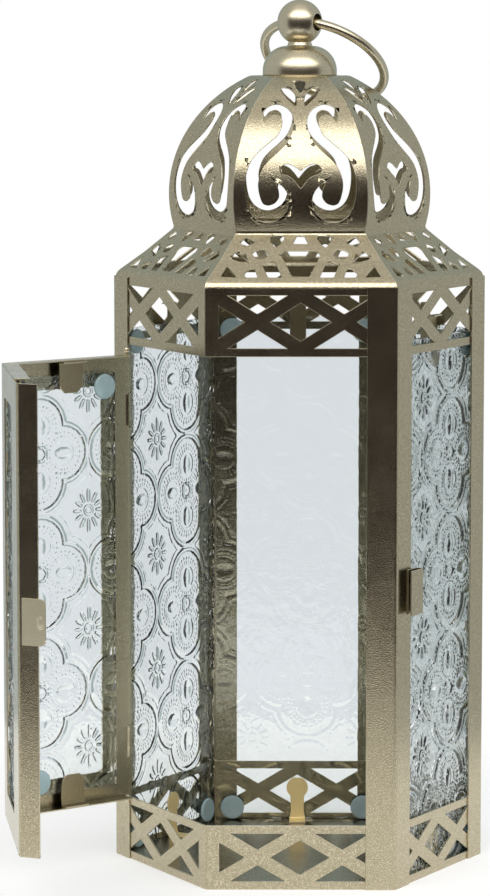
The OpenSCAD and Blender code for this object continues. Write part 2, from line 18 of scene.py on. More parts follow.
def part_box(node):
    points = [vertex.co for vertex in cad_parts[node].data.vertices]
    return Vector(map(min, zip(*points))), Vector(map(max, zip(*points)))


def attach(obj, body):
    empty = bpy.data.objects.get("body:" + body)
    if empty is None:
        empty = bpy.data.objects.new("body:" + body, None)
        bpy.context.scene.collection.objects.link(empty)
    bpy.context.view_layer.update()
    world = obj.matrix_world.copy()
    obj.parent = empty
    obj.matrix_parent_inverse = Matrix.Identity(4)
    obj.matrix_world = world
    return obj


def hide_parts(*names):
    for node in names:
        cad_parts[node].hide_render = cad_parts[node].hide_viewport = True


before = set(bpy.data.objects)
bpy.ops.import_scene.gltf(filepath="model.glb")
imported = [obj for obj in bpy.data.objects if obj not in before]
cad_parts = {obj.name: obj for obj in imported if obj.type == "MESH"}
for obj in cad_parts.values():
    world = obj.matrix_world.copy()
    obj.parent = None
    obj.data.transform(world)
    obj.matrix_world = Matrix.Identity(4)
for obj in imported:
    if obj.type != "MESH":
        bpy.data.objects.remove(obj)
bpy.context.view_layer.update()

# %% [markdown]
# ## Sizes
# Most sizes are read from the boxes of the CAD nodes, so that the looks follow the design. The rest are
# the sheet worker's own: thickness of the sheet, widths of flanges, strips and bars. All are in metres.

# %% Sizes read from the frame, and the sheet worker's own
MM = 0.001
TAN30 = math.tan(math.radians(30))
MIRROR = np.array([-1.0, 1.0])
SHEET = 0.6 * MM
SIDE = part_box("base_band")[1].x
APOTHEM = SIDE * math.cos(math.radians(30))
BASE_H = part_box("base_band")[1].z
FLOOR_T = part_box("floor_plate")[1].z
POST_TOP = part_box("post_left")[1].z
EAVES_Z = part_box("roof_front")[0].z
CROWN_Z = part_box("roof_front")[1].z
DOOR_Z0, DOOR_Z1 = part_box("door_frame")[0].z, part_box("door_frame")[1].z
BALL_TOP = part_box("finial_ball")[1].z

FLANGE = 10.8 * MM
POST_OUT = APOTHEM + SHEET
DOOR_IN = POST_OUT + 0.3 * MM
DOOR_OUT = DOOR_IN + SHEET
SHOULDER_RISE, SHOULDER_RUN = 18.2 * MM, 19.4 * MM
DOME_R, DOME_TUCK = 50.2 * MM, math.radians(15)
CROWN = 16.2 * MM
GLASS = 3 * MM
print("side", round(SIDE / MM, 2), "mm, height", round(BALL_TOP / MM, 2), "mm")

# %% [markdown]
# ## Turning a drawing onto its place
# Every side is drawn once, as the side that faces -Y, and then turned round the lantern's axis in steps
# of 60 degrees. The door is drawn shut and then swung open round its hinge, as the CAD does it.

# %% Sides of the hexagon, and the swing of the door
FRONT, FRONT_RIGHT, BACK_RIGHT, BACK, BACK_LEFT, FRONT_LEFT = range(6)
SIDE_NAMES = ["front", "front_right", "back_right", "back", "back_left", "front_left"]


def turn(points, degrees, centre=(0.0, 0.0)):
    """Turns (n, 3) points round a vertical line: x' = x cos a - y sin a, y' = x sin a + y cos a."""
    a = math.radians(degrees)
    spin = np.array([[math.cos(a), math.sin(a), 0], [-math.sin(a), math.cos(a), 0], [0, 0, 1]])
    middle = np.array([*centre, 0.0])
    return (np.asarray(points, float) - middle) @ spin + middle


def at_side(k, x, d):
    """Plan points at distance d from the axis and x along side k, for single numbers or arrays."""
    return turn(np.stack([x, -d, 0 * x], -1), 60 * k)[..., :2]


def on_side(shape, k):
    """A shape drawn on the front side, turned to side k."""
    return turn(shape[0], 60 * k), shape[1]


BARREL_R = 1.4 * MM
HINGE_X = 13.5 * MM - SIDE / 2
HINGE_D = DOOR_IN + BARREL_R
HINGE = at_side(FRONT_LEFT, HINGE_X, HINGE_D)
DOOR_OPEN = 82


def swung(shape):
    """A shape drawn on the shut door, swung open with it."""
    return turn(shape[0], -DOOR_OPEN, HINGE), shape[1]


print("hinge line at", np.round(HINGE / MM, 2), "mm")

# %% [markdown]
# ## Folded sections
# A brake folds sheet along a line and leaves a small round bend. The same look comes from a polyline
# that is sampled evenly and averaged over a short window: flats stay where they are, and each corner
# turns into a soft bend as wide as the window. One helper does it for open sections, another for closed
# outlines such as a punched hole.

# %% Helpers for bends
STEP, SOFT_STEP = 0.05 * MM, 0.45 * MM


def lengths(path):
    """Distance travelled along a path of points, starting from 0."""
    return np.concatenate([[0], np.cumsum(np.linalg.norm(np.diff(path, axis=0), axis=1))])


def even(path, step):
    """The path sampled at equal steps: linear interpolation against the distance travelled."""
    s = lengths(path)
    at = np.linspace(0, s[-1], max(2, round(s[-1] / step)) + 1)
    return np.stack([np.interp(at, s, path[:, i]) for i in range(path.shape[1])], -1)


def bent(corners, window):
    """Each point is the mean of its neighbours within half a window; the ends run on straight."""
    path = even(np.asarray(corners, float), STEP)
    half = round(window / STEP / 2)
    reach = np.arange(half, 0, -1)[:, None]
    before = path[0] - (path[1] - path[0]) * reach
    after = path[-1] + (path[-1] - path[-2]) * reach[::-1]
    total = np.cumsum(np.concatenate([np.zeros((1, 2)), before, path, after]), axis=0)
    width = 2 * half + 1
    return (total[width:] - total[:-width]) / width


def softened(loop, window):
    """A closed outline averaged in the same way, going round and round."""
    ring = even(np.concatenate([loop, loop[:1]]), STEP)[:-1]
    half = round(window / STEP / 2)
    again = ring[np.arange(-half, len(ring) + half) % len(ring)]
    total = np.cumsum(np.concatenate([np.zeros((1, 2)), again]), axis=0)
    width = 2 * half + 1
    smooth = (total[width:] - total[:-width]) / width
    return smooth[:: round(SOFT_STEP / STEP)]


def along(path, s):
    """Points and unit normals of a path at distances s. The normal is the tangent turned clockwise."""
    travelled = lengths(path)
    point = np.stack([np.interp(s, travelled, path[:, i]) for i in range(2)], -1)
    slope = np.gradient(path, axis=0)
    tangent = np.stack([np.interp(s, travelled, slope[:, i]) for i in range(2)], -1)
    tangent /= np.linalg.norm(tangent, axis=1)[:, None]
    return point, np.stack([tangent[:, 1], -tangent[:, 0]], -1)


corner = bent([[0, 0], [5 * MM, 0], [5 * MM, 5 * MM]], 2 * MM)
print("a corner 5 mm each way, bent over a 2 mm window, is", round(lengths(corner)[-1] / MM, 2), "mm long")


# %% [markdown]
# ## Cutting a blank
# A pierced panel starts as a flat blank: an outline with holes. A constrained Delaunay triangulation
# fills the metal between the outlines. Rows and columns of extra points lie close together where the
# sheet will bend, so the folded surface stays smooth. The blank is computed flat and mapped afterwards,
# which is how the real panel is stamped first and then rolled and folded.

# %% Helpers for blanks


def divided(loop, step):
    """A closed outline with its edges divided into equal parts no longer than step."""
    run = np.roll(loop, -1, axis=0) - loop
    parts = np.maximum(1, np.ceil(np.linalg.norm(run, axis=1) / step - 1e-6)).astype(int)
    start = np.repeat(np.arange(len(loop)), parts)
    share = (np.arange(parts.sum()) - np.repeat(np.cumsum(parts) - parts, parts)) / np.repeat(parts, parts)
    return loop[start] + run[start] * share[:, None]


def inside(loop, points):
    """Even-odd rule: a point is inside when a ray to its right crosses the outline an odd number of
    times."""
    a, b = loop, np.roll(loop, -1, axis=0)
    x, y = points[:, :1], points[:, 1:]
    crosses = (a[:, 1] > y) != (b[:, 1] > y)
    rise = np.where(a[:, 1] == b[:, 1], 1.0, b[:, 1] - a[:, 1])
    return (crosses & (x < a[:, 0] + (y - a[:, 1]) * (b[:, 0] - a[:, 0]) / rise)).sum(1) % 2 == 1


def clear_of(loop, points):
    """Distance of each point from the nearest corner of a finely divided outline."""
    gap = np.full(len(points), np.inf)
    for part in np.array_split(loop, max(1, len(loop) // 200)):
        gap = np.minimum(gap, np.hypot(points[:, :1] - part[:, 0], points[:, 1:] - part[:, 1]).min(1))
    return gap


def cut_blank(outline, holes, columns, rows, step=0.8 * MM):
    """Triangles of a flat blank: outlines as fixed edges, and a lattice of points in between."""
    loops = [divided(np.asarray(loop, float), step) for loop in [outline, *holes]]
    u, v = np.meshgrid(columns, rows)
    lattice = np.stack([u.ravel(), v.ravel()], -1)
    keep = inside(loops[0], lattice)
    for loop in loops:
        keep &= clear_of(loop, lattice) > 0.45 * step
    for hole in loops[1:]:
        keep &= ~inside(hole, lattice)
    points = np.concatenate([*loops, lattice[keep]])
    edges, first = [], 0
    for loop in loops:
        i = np.arange(len(loop))
        edges.append(np.stack([i, (i + 1) % len(loop)], -1) + first)
        first += len(loop)
    flat = [Vector(p) for p in (points / MM).tolist()]
    made = delaunay_2d_cdt(flat, np.concatenate(edges).tolist(), [], 0, 1e-6)
    points = np.array([list(p) for p in made[0]]) * MM
    triangles = np.array([t for t in made[2] if len(t) == 3])
    corner = points[triangles]
    middle = corner.mean(1)
    metal = inside(loops[0], middle)
    for hole in loops[1:]:
        metal &= ~inside(hole, middle)
    a, b = corner[:, 1] - corner[:, 0], corner[:, 2] - corner[:, 0]
    area = a[:, 0] * b[:, 1] - a[:, 1] * b[:, 0]
    triangles = np.where((area > 0)[:, None], triangles, triangles[:, ::-1])
    return points, triangles[metal & (np.abs(area) > 1e-12)]


def stations(low, high, folds, coarse, fine, width):
    """Places from low to high: coarse steps everywhere, and fine steps within width of each fold."""
    every = [np.linspace(low, high, max(2, round((high - low) / coarse) + 1))]
    every += [np.arange(fold - width, fold + width, fine) for fold in folds]
    places = np.concatenate(every)
    return np.unique(np.clip(np.round(places[(places >= low) & (places <= high)], 6), low, high))


square = np.array([[0, 0], [1, 0], [1, 1], [0, 1]]) * 10 * MM
trial = cut_blank(square, [square / 2 + 2.5 * MM], stations(0, 10 * MM, [], 2 * MM, MM, 0), [])
print("a trial blank of 10 mm with a square hole:", len(trial[0]), "points,", len(trial[1]), "triangles")


# %% [markdown]
# ## From arrays to pieces
# One helper puts arrays into a mesh and hangs it on its body. Sheet pieces then get their thickness from
# a Solidify modifier, which leaves the computed face outside and gives the cut edges a second, lighter
# material, partly the raw metal of the cut and partly a painted highlight, and a small bevel catches the
# light along every edge, as a stamped edge does.

# %% Helpers that make the pieces
PIECES = []


def grid_faces(rows, columns, round_rows=False, round_columns=False):
    """Quads of a grid numbered row by row: corners (i, j), (i, j+1), (i+1, j+1), (i+1, j)."""
    i = np.arange(rows if round_rows else rows - 1)[:, None]
    j = np.arange(columns if round_columns else columns - 1)[None, :]
    up, right = (i + 1) % rows, (j + 1) % columns
    quads = [i * columns + j, i * columns + right, up * columns + right, up * columns + j]
    return np.stack(np.broadcast_arrays(*quads), -1).reshape(-1, 4)


def joined(parts):
    """Several (points, faces) pairs as one, each part's faces renumbered past those before it."""
    points, faces, first = [], [], 0
    for p, f in parts:
        points.append(p)
        faces.extend((np.asarray(f) + first).tolist())
        first += len(p)
    return np.concatenate(points), faces


def make_piece(name, shape, body, materials, stands_for, sharp=None, weld=False):
    """Puts points and faces into a mesh, smooth-shaded, riding on its body."""
    points, faces = shape
    mesh = bpy.data.meshes.new(name)
    mesh.from_pydata(points.tolist(), [], faces.tolist() if isinstance(faces, np.ndarray) else faces)
    if weld:
        shell = bmesh.new()
        shell.from_mesh(mesh)
        bmesh.ops.remove_doubles(shell, verts=shell.verts, dist=1e-6)
        bmesh.ops.dissolve_degenerate(shell, edges=shell.edges, dist=1e-7)
        shell.to_mesh(mesh)
        shell.free()
    mesh.shade_smooth()
    if sharp:
        mesh.set_sharp_from_angle(angle=math.radians(sharp))
    for material in materials:
        mesh.materials.append(material)
    piece = bpy.data.objects.new(name, mesh)
    bpy.context.scene.collection.objects.link(piece)
    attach(piece, body)
    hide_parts(*stands_for)
    PIECES.append(piece)
    return piece


def make_sheet(name, shape, body, stands_for, thick=SHEET, weld=False, materials=None):
    """A sheet piece: the computed face, its thickness behind it, and a fine bevel on all cut edges."""
    piece = make_piece(name, shape, body, materials or [GOLD_SHEET, EDGE_METAL_AND_HIGHLIGHT], stands_for, weld=weld)
    wall = piece.modifiers.new("thickness", "SOLIDIFY")
    wall.thickness, wall.offset = thick, -1
    # The rim faces take the second, lighter material: raw metal of the cut, partly a painted highlight.
    wall.material_offset_rim = 1
    edge = piece.modifiers.new("edge", "BEVEL")
    edge.width, edge.segments = 0.15 * MM, 1
    edge.limit_method, edge.angle_limit = "ANGLE", math.radians(50)
    edge.offset_type = "ABSOLUTE"
    edge.use_clamp_overlap = False
    edge.harden_normals = True
    return piece


def round_angles(count):
    """Angles of equal parts of a full turn."""
    return np.linspace(0, 2 * math.pi, count, endpoint=False)


def turned(profile, turns=96, closed=True):
    """Carries a profile of (radius, height) round Z: point = (r cos a, r sin a, h)."""
    a = round_angles(turns)[:, None]
    r, h = profile[None, :, 0], profile[None, :, 1]
    points = np.stack([r * np.cos(a), r * np.sin(a), h + 0 * a], -1).reshape(-1, 3)
    return points, grid_faces(turns, len(profile), True, closed)


def raised(plan, heights):
    """Carries a plan line straight up: one row of points at each height."""
    up = np.repeat(heights, len(plan))[:, None]
    return np.column_stack([np.tile(plan, (len(heights), 1)), up]), grid_faces(len(heights), len(plan))


def flipped(shape):
    """The same faces seen from their other side."""
    return shape[0], shape[1][:, ::-1]


def arc(centre, radius, start, stop, count):
    """Points of a circle's arc from start to stop degrees."""
    a = np.radians(np.linspace(start, stop, count))
    return np.stack([centre[0] + radius * np.cos(a), centre[1] + radius * np.sin(a)], -1)


print("a turned profile of 4 points has", len(turned(np.eye(4, 2))[1]), "faces")


# %% [markdown]
# ## Effects that the finishes share
# The gold is a satin metallic paint: fine bright flakes in a slightly uneven film. The speckle group
# turns two noises into a colour, a roughness and a height. The marks group adds the faint cloudy
# patches that handling leaves. Both read Object coordinates, so they stay fixed to the metal.

# %% Shader groups


def new_group(name, inputs, outputs):
    """A shader group with named sockets. Returns the tree, its input node and its output node."""
    tree = bpy.data.node_groups.new(name, "ShaderNodeTree")
    for label, (kind, value) in inputs.items():
        tree.interface.new_socket(label, in_out="INPUT", socket_type=kind).default_value = value
    for label, kind in outputs.items():
        tree.interface.new_socket(label, in_out="OUTPUT", socket_type=kind)
    return tree, tree.nodes.new("NodeGroupInput"), tree.nodes.new("NodeGroupOutput")


def add(tree, kind, links=None, **settings):
    """Adds a node, sets its properties, and fills its inputs with values or links."""
    node = tree.nodes.new(kind)
    for key, value in settings.items():
        setattr(node, key, value)
    for key, value in (links or {}).items():
        if isinstance(value, bpy.types.NodeSocket):
            tree.links.new(value, node.inputs[key])
        else:
            node.inputs[key].default_value = value
    return node


def noise(tree, scale, detail, roughness=0.5):
    """Noise on Object coordinates, so that it stays fixed to the piece."""
    place = add(tree, "ShaderNodeTexCoord").outputs["Object"]
    values = {"Vector": place, "Scale": scale, "Detail": detail, "Roughness": roughness}
    return add(tree, "ShaderNodeTexNoise", values).outputs["Fac"]


def ranged(tree, value, low, high, to_low=0.0, to_high=1.0, **settings):
    """The value from low to high, as a value from to_low to to_high."""
    ends = {"Value": value, "From Min": low, "From Max": high, "To Min": to_low, "To Max": to_high}
    return add(tree, "ShaderNodeMapRange", ends, **settings).outputs["Result"]


def combined(tree, operation, one, other):
    """Two values added or multiplied."""
    return add(tree, "ShaderNodeMath", {0: one, 1: other}, operation=operation).outputs[0]


def blended(tree, share, under, over):
    """The colour under, turning into the colour over as the share goes from 0 to 1."""
    return add(tree, "ShaderNodeMix", {"Factor": share, "A": under, "B": over}, data_type="RGBA").outputs[2]


FLOAT, COLOUR = "NodeSocketFloat", "NodeSocketColor"


def speckle_group():
    """Flakes: a fine noise pushed to its ends picks between two colours; a coarser one moves roughness."""
    tree, given, out = new_group(
        "satin_speckle",
        {"Film": (COLOUR, (0.5, 0.45, 0.35, 1)), "Flake": (COLOUR, (0.8, 0.72, 0.55, 1)),
         "Flakes per metre": (FLOAT, 2600.0), "Flake Amount": (FLOAT, 0.5), "Roughness": (FLOAT, 0.3)},
        {"Color": COLOUR, "Roughness": FLOAT, "Height": FLOAT},
    )
    fine = noise(tree, given.outputs["Flakes per metre"], 1.0)
    share = combined(tree, "MULTIPLY", ranged(tree, fine, 0.45, 0.75), given.outputs["Flake Amount"])
    colour = blended(tree, share, given.outputs["Film"], given.outputs["Flake"])
    sway = ranged(tree, noise(tree, 90.0, 3.0), 0.3, 0.7, -0.02, 0.025)
    tree.links.new(colour, out.inputs["Color"])
    tree.links.new(combined(tree, "ADD", given.outputs["Roughness"], sway), out.inputs["Roughness"])
    tree.links.new(fine, out.inputs["Height"])
    return tree


def marks_group():
    """Handling marks: stretched cloudy noise, strong in few places, darkens colour a little."""
    tree, given, out = new_group(
        "handling_marks",
        {"Color": (COLOUR, (0.6, 0.5, 0.4, 1)), "Mark": (COLOUR, (0.35, 0.3, 0.22, 1)),
         "Amount": (FLOAT, 0.3)},
        {"Color": COLOUR, "Mask": FLOAT},
    )
    patch = ranged(tree, noise(tree, 38.0, 6.0, 0.62), 0.5, 0.78)
    share = combined(tree, "MULTIPLY", patch, given.outputs["Amount"])
    tree.links.new(blended(tree, share, given.outputs["Color"], given.outputs["Mark"]), out.inputs["Color"])
    tree.links.new(share, out.inputs["Mask"])
    return tree


SPECKLE, MARKS = speckle_group(), marks_group()
print("shader groups:", SPECKLE.name, "and", MARKS.name)

# %% [markdown]
# ## Finishes
# Each finish is one material. Values that are the same all over sit on the shader's own sockets. The
# sheet, the turned pieces, the tabs and the cut edges share the speckle group with values of their
# own; the glass is clear with a trace of green and a faint ripple from the casting. The floor tabs and
# the latch tongue take lighter copies of the gold, painted light, and the other tabs a darker copy,
# painted shade; the cut edges are lighter partly for their raw metal and partly as a painted highlight.

# %% Materials


def new_material(name, **values):
    """A material whose Principled shader has plain values on its sockets."""
    material = bpy.data.materials.new(name)
    material.use_nodes = True
    shader = material.node_tree.nodes["Principled BSDF"]
    for key, value in values.items():
        shader.inputs[key.replace("_", " ")].default_value = value
    return material, material.node_tree, shader


def add_bump(tree, shader, height, strength, depth):
    """Tilts the shader's normal as a surface of this height would."""
    bump = add(tree, "ShaderNodeBump", {"Height": height, "Strength": strength, "Distance": depth})
    tree.links.new(bump.outputs["Normal"], shader.inputs["Normal"])


def gold(name, film, flake, roughness, flakes=2600.0, amount=0.5, marks=0.3, grain=0.05, metallic=1.0):
    """Satin metallic paint: speckle for colour and roughness, marks over it, grain as a fine bump."""
    material, tree, shader = new_material(name, Metallic=metallic)
    speck = add(tree, "ShaderNodeGroup", node_tree=SPECKLE)
    for key, value in (("Film", film), ("Flake", flake), ("Flakes per metre", flakes),
                       ("Flake Amount", amount), ("Roughness", roughness)):
        speck.inputs[key].default_value = value
    mark = add(tree, "ShaderNodeGroup", node_tree=MARKS)
    mark.inputs["Amount"].default_value = marks
    mark.inputs["Mark"].default_value = tuple(0.45 * c for c in film[:3]) + (1,)
    tree.links.new(speck.outputs["Color"], mark.inputs["Color"])
    tree.links.new(mark.outputs["Color"], shader.inputs["Base Color"])
    tree.links.new(speck.outputs["Roughness"], shader.inputs["Roughness"])
    add_bump(tree, shader, speck.outputs["Height"], grain, 0.2 * MM)
    return material


GOLD_SHEET = gold(
    "gold_sheet", (0.42, 0.37, 0.248, 1), (0.86, 0.77, 0.58, 1), 0.21, amount=0.75, marks=0.08, grain=0.25
)
GOLD_TURNED = gold(
    "gold_turned", (0.58, 0.515, 0.37, 1), (0.90, 0.82, 0.64, 1), 0.27, marks=0.08, grain=0.1
)
FLOOR_SHEET = gold("floor_sheet", (0.43, 0.37, 0.26, 1), (0.66, 0.60, 0.46, 1), 0.24, marks=0.5)
# The next two are one tab gold in two copies: the first is lighter, more saturated and partly diffuse, a
# painted highlight for the floor tabs; the second is darker, painted shade for the tabs at the eaves and on
# the door.
TAB_PAINTED_LIGHT = gold("tab_metal", (0.95, 0.77, 0.38, 1), (0.98, 0.86, 0.54, 1), 0.42, marks=0.1, metallic=0.45)
TAB_PAINTED_SHADE = gold("tab_painted_shade", (0.38, 0.325, 0.205, 1), (0.60, 0.53, 0.36, 1), 0.30, marks=0.2)
# The tongue's gold is a lighter, partly diffuse copy of the sheet gold: painted light, so the tongue reads
# lighter than the door around it.
TONGUE_PAINTED_LIGHT = gold(
    "tongue_painted_light", (0.50, 0.46, 0.33, 1), (0.70, 0.65, 0.48, 1), 0.35, marks=0.1, metallic=0.5
)
# The cut-edge gold is lighter than the sheet: partly the raw metal of the cut, partly a painted highlight
# along every edge.
EDGE_METAL_AND_HIGHLIGHT = gold("cut_edge_and_highlight", (0.74, 0.67, 0.50, 1), (0.90, 0.84, 0.70, 1), 0.30, marks=0.2)
ZINC = gold("zinc", (0.52, 0.52, 0.50, 1), (0.72, 0.72, 0.70, 1), 0.34, flakes=900.0, marks=0.4)


def glass_material():
    """Clear glass: plain transmission, a trace of green, and a slow ripple bent into the normal."""
    material, tree, shader = new_material(
        "pressed_glass", Base_Color=(0.865, 0.905, 0.902, 1), Transmission_Weight=1.0,
        Roughness=0.03, IOR=1.5,
    )
    add_bump(tree, shader, noise(tree, 210.0, 2.0), 0.35, 0.6 * MM)
    return material


def dot_material():
    """Soft clear silicone with a blue-green tint, cloudy inside."""
    material, tree, shader = new_material("soft_dot", Transmission_Weight=0.35, Roughness=0.3, IOR=1.41)
    tint = blended(tree, noise(tree, 300.0, 2.0), (0.42, 0.60, 0.64, 1), (0.60, 0.77, 0.80, 1))
    tree.links.new(tint, shader.inputs["Base Color"])
    return material


PRESSED_GLASS, SOFT_DOT = glass_material(), dot_material()
print(len(bpy.data.materials), "materials")

# %% [markdown]
# ## Camera, floor and light
# The camera stands about 1.4 m away, level with the ball, with a long lens that flattens the view.
# The lantern stands on a plain pale round board. Its light is a whole room: pale walls, a white window
# straight behind it, a bank of soft lamps high in front, and a dark room behind the camera. Satin gold
# shows whatever it faces, so the dark room is what makes the front faces brown and the lamps are what
# light up the sloping roof.

# %% Camera
LENS_MM, SENSOR_MM = 150.3, 36.0
EYE = (-0.0130, -1.4179, 0.3245)
YAW, PITCH = 0.0054, -0.1171

lens = bpy.data.cameras.new("camera")
lens.sensor_width, lens.lens = SENSOR_MM, LENS_MM
lens.clip_start, lens.clip_end = 0.05, 50
camera = bpy.data.objects.new("camera", lens)
bpy.context.scene.collection.objects.link(camera)
ahead = Vector((-math.sin(YAW) * math.cos(PITCH), math.cos(YAW) * math.cos(PITCH), math.sin(PITCH)))
right = Vector((math.cos(YAW), math.sin(YAW), 0))
above = right.cross(ahead)
camera.matrix_world = Matrix.Translation(EYE) @ Matrix((right, above, -ahead)).transposed().to_4x4()
bpy.context.scene.camera = camera
print("lens", round(lens.lens, 1), "mm")

# %% Floor
FLOOR_MIDDLE, FLOOR_RADIUS = (-0.06, -0.09), 0.37
rim = arc(FLOOR_MIDDLE, FLOOR_RADIUS, 0, 360, 97)[:-1]
floor_mesh = bpy.data.meshes.new("floor")
floor_mesh.from_pydata([(x, y, 0.0) for x, y in rim], [], [tuple(range(len(rim)))])
floor = bpy.data.objects.new("floor", floor_mesh)
bpy.context.scene.collection.objects.link(floor)
floor_paint, _, _ = new_material(
    "floor_paint", Base_Color=(0.55, 0.55, 0.55, 1), Roughness=0.8,
    Emission_Color=(1, 1, 1, 1), Emission_Strength=0.5,
)
floor_mesh.materials.append(floor_paint)
print("board", round(2 * FLOOR_RADIUS, 2), "m across")

# %% Light


def studio_world():
    """White to the camera. For all other rays the sky is mixed from parts with soft borders.

    The parts are: plain walls, a darker back, a bright window straight behind, a ceiling, a dark room in
    front below 20 degrees, and a bright bank of lamps above it.
    """
    world = bpy.data.worlds.new("studio")
    world.use_nodes = True
    bpy.context.scene.world = world
    tree = world.node_tree
    tree.nodes.clear()
    way = add(tree, "ShaderNodeTexCoord").outputs["Generated"]

    def toward(direction, start, stop):
        """Soft step of the dot product with a direction."""
        dot = add(tree, "ShaderNodeVectorMath", {0: way, 1: direction}, operation="DOT_PRODUCT")
        return ranged(tree, dot.outputs["Value"], start, stop, interpolation_type="SMOOTHSTEP")

    def both(one, other):
        return combined(tree, "MULTIPLY", one, other)

    def over(share, colour, under):
        return blended(tree, share, under, colour)

    in_front = toward((0, -1, 0), 0.30, 0.55)
    sky = over(toward((0, 1, 0), 0.62, 0.86), DIM_BACK, WALLS)
    sky = over(toward((0, 0.9945, -0.105), 0.960, 0.982), WINDOW, sky)
    sky = over(toward((0, -0.25, 0.97), 0.84, 0.94), CEILING, sky)
    sky = over(both(in_front, toward((0, 0, -1), -0.40, -0.30)), DARK_ROOM, sky)
    lamps = both(both(in_front, toward((0, 0, 1), 0.38, 0.46)), toward((0, 0, -1), -0.90, -0.82))
    sky = over(lamps, LAMPS, sky)
    seen = add(tree, "ShaderNodeLightPath").outputs["Is Camera Ray"]
    shown = over(seen, (1.0, 1.0, 1.0, 1), sky)
    back = add(tree, "ShaderNodeBackground", {"Color": shown, "Strength": 1.0})
    out = add(tree, "ShaderNodeOutputWorld")
    tree.links.new(back.outputs[0], out.inputs["Surface"])


WALLS, DIM_BACK, WINDOW = (0.54, 0.565, 0.56, 1), (0.38, 0.45, 0.445, 1), (0.84, 0.855, 0.885, 1)
CEILING, DARK_ROOM, LAMPS = (0.80, 0.785, 0.76, 1), (0.040, 0.033, 0.032, 1), (3.3, 3.25, 3.2, 1)
studio_world()
bpy.context.scene.view_settings.view_transform = "Standard"
print("world:", len(bpy.context.scene.world.node_tree.nodes), "nodes")

# %% [markdown]
# ## The pierced bands
# Two bars cross twice on each side, with a lozenge between the crossings. The openings are the pieces
# that are left over: one lozenge, four triangles against the rims and two against the ends. The
# same drawing serves the foot and the eaves, as the same punch tool would.

# %% Openings of a band
LATTICE_BAR, LATTICE_RIM, LATTICE_END = 5 * MM, 3.1 * MM, 5 * MM
LATTICE_STEEP, LATTICE_CROSS = 1.72, 0.226


def lattice_openings(w, h):
    """Lozenge and triangles between bars of slope `tilt` that cross at +-cross along the band."""
    tilt, cross, mid = LATTICE_STEEP * h / w, LATTICE_CROSS * w, h / 2
    rise = LATTICE_BAR / 2 * math.sqrt(1 + tilt * tilt)
    half, reach, edge = cross - rise / tilt, mid - LATTICE_RIM - rise, w / 2 - LATTICE_END
    loops = [[[-half, mid], [0, mid - half * tilt], [half, mid], [0, mid + half * tilt]]]
    for hand in (-1, 1):
        for up in (-1, 1):
            far = mid + up * (mid - LATTICE_RIM)
            left, right = hand * cross - reach / tilt, hand * cross + reach / tilt
            loops.append([[hand * cross, mid + up * rise], [left, far], [right, far]])
        tall = (edge - cross - rise / tilt) * tilt
        tip = hand * (cross + rise / tilt)
        loops.append([[tip, mid], [hand * edge, mid + tall], [hand * edge, mid - tall]])
    return [np.array(loop) for loop in loops]


SIDE_FOLD, LEAD = 2.4 * MM, 6 * MM


def side_plan(across):
    """Plan of one side and a short lead along each neighbour, with soft corners, and its middle's place."""
    half = across * TAN30
    start, stop = np.array([-half, -across]), np.array([half, -across])
    beyond = LEAD * np.array([math.cos(math.radians(60)), math.sin(math.radians(60))])
    path = bent([start + beyond * MIRROR, start, stop, stop + beyond], SIDE_FOLD)
    return path, lengths(path)[-1] / 2


def band_shape(w, h, across, z, openings):
    """Blank of one side's band, carried round the soft corners: point = plan(x) at height v."""
    half = w / 2
    outline = np.array([[-half, 0], [half, 0], [half, h], [-half, h]])
    columns = stations(-half, half, [-half, half], 2.5 * MM, 0.3 * MM, 1.5 * MM)
    rows = stations(0, h, [], 2.5 * MM, 1 * MM, 0)
    flat, faces = cut_blank(outline, openings, columns, rows, 0.7 * MM)
    path, middle = side_plan(across)
    shrink = (middle - LEAD) / half
    spot, _ = along(path, middle + flat[:, 0] * shrink)
    return np.column_stack([spot, flat[:, 1] + z]), faces


HAIR = 0.05 * MM
one_side = band_shape(SIDE, BASE_H - 2 * HAIR, APOTHEM, HAIR, lattice_openings(SIDE, BASE_H - 2 * HAIR))
six_sides = joined([on_side(one_side, k) for k in range(6)])
base_band = make_sheet("foot_band", six_sides, "lantern", ["base_band"], weld=True)
print("foot band:", len(base_band.data.vertices), "points")

# %% [markdown]
# ## Corner posts
# Each post is a strip folded once lengthways to 120 degrees. Its section is a bent line of two flanges,
# carried straight up. The posts lie over the bands, and five corners have one; the door has the sixth.

# %% Posts
POSTS = {"post_left": BACK_LEFT, "post_back_left": BACK, "post_back_right": BACK_RIGHT,
         "post_right": FRONT_RIGHT, "post_front_right": FRONT}
POST_FOLD = 2.6 * MM


def post_shape(k):
    """Section of two flanges at the corner that ends side k, carried from the floor to the eaves."""
    reach = SIDE / 2 - FLANGE
    half = POST_OUT * TAN30
    corners = [at_side(k, reach, POST_OUT), at_side(k, half, POST_OUT), at_side(k + 1, -reach, POST_OUT)]
    section = bent(corners, POST_FOLD)
    wide = lengths(section)[-1]
    spot, _ = along(section, stations(0, wide, [wide / 2], 2.5 * MM, 0.3 * MM, 2 * MM))
    return raised(spot, np.linspace(0, POST_TOP, 60))


for post, corner in POSTS.items():
    make_sheet(post.replace("post", "corner_post"), post_shape(corner), "lantern", [post])
print(len(POSTS), "posts")

# %% [markdown]
# ## Roof panels
# One panel is a band, a sloping shoulder, a curved dome side and a flat crown, all in one sheet. Its
# section is drawn as (distance from the axis, height). The blank is as wide at each station as the
# hexagon there, so six panels meet in seams. The scrolls are pen strokes of changing width round a
# smooth curve, and the mosaic cells of the shoulder are softened polygons.

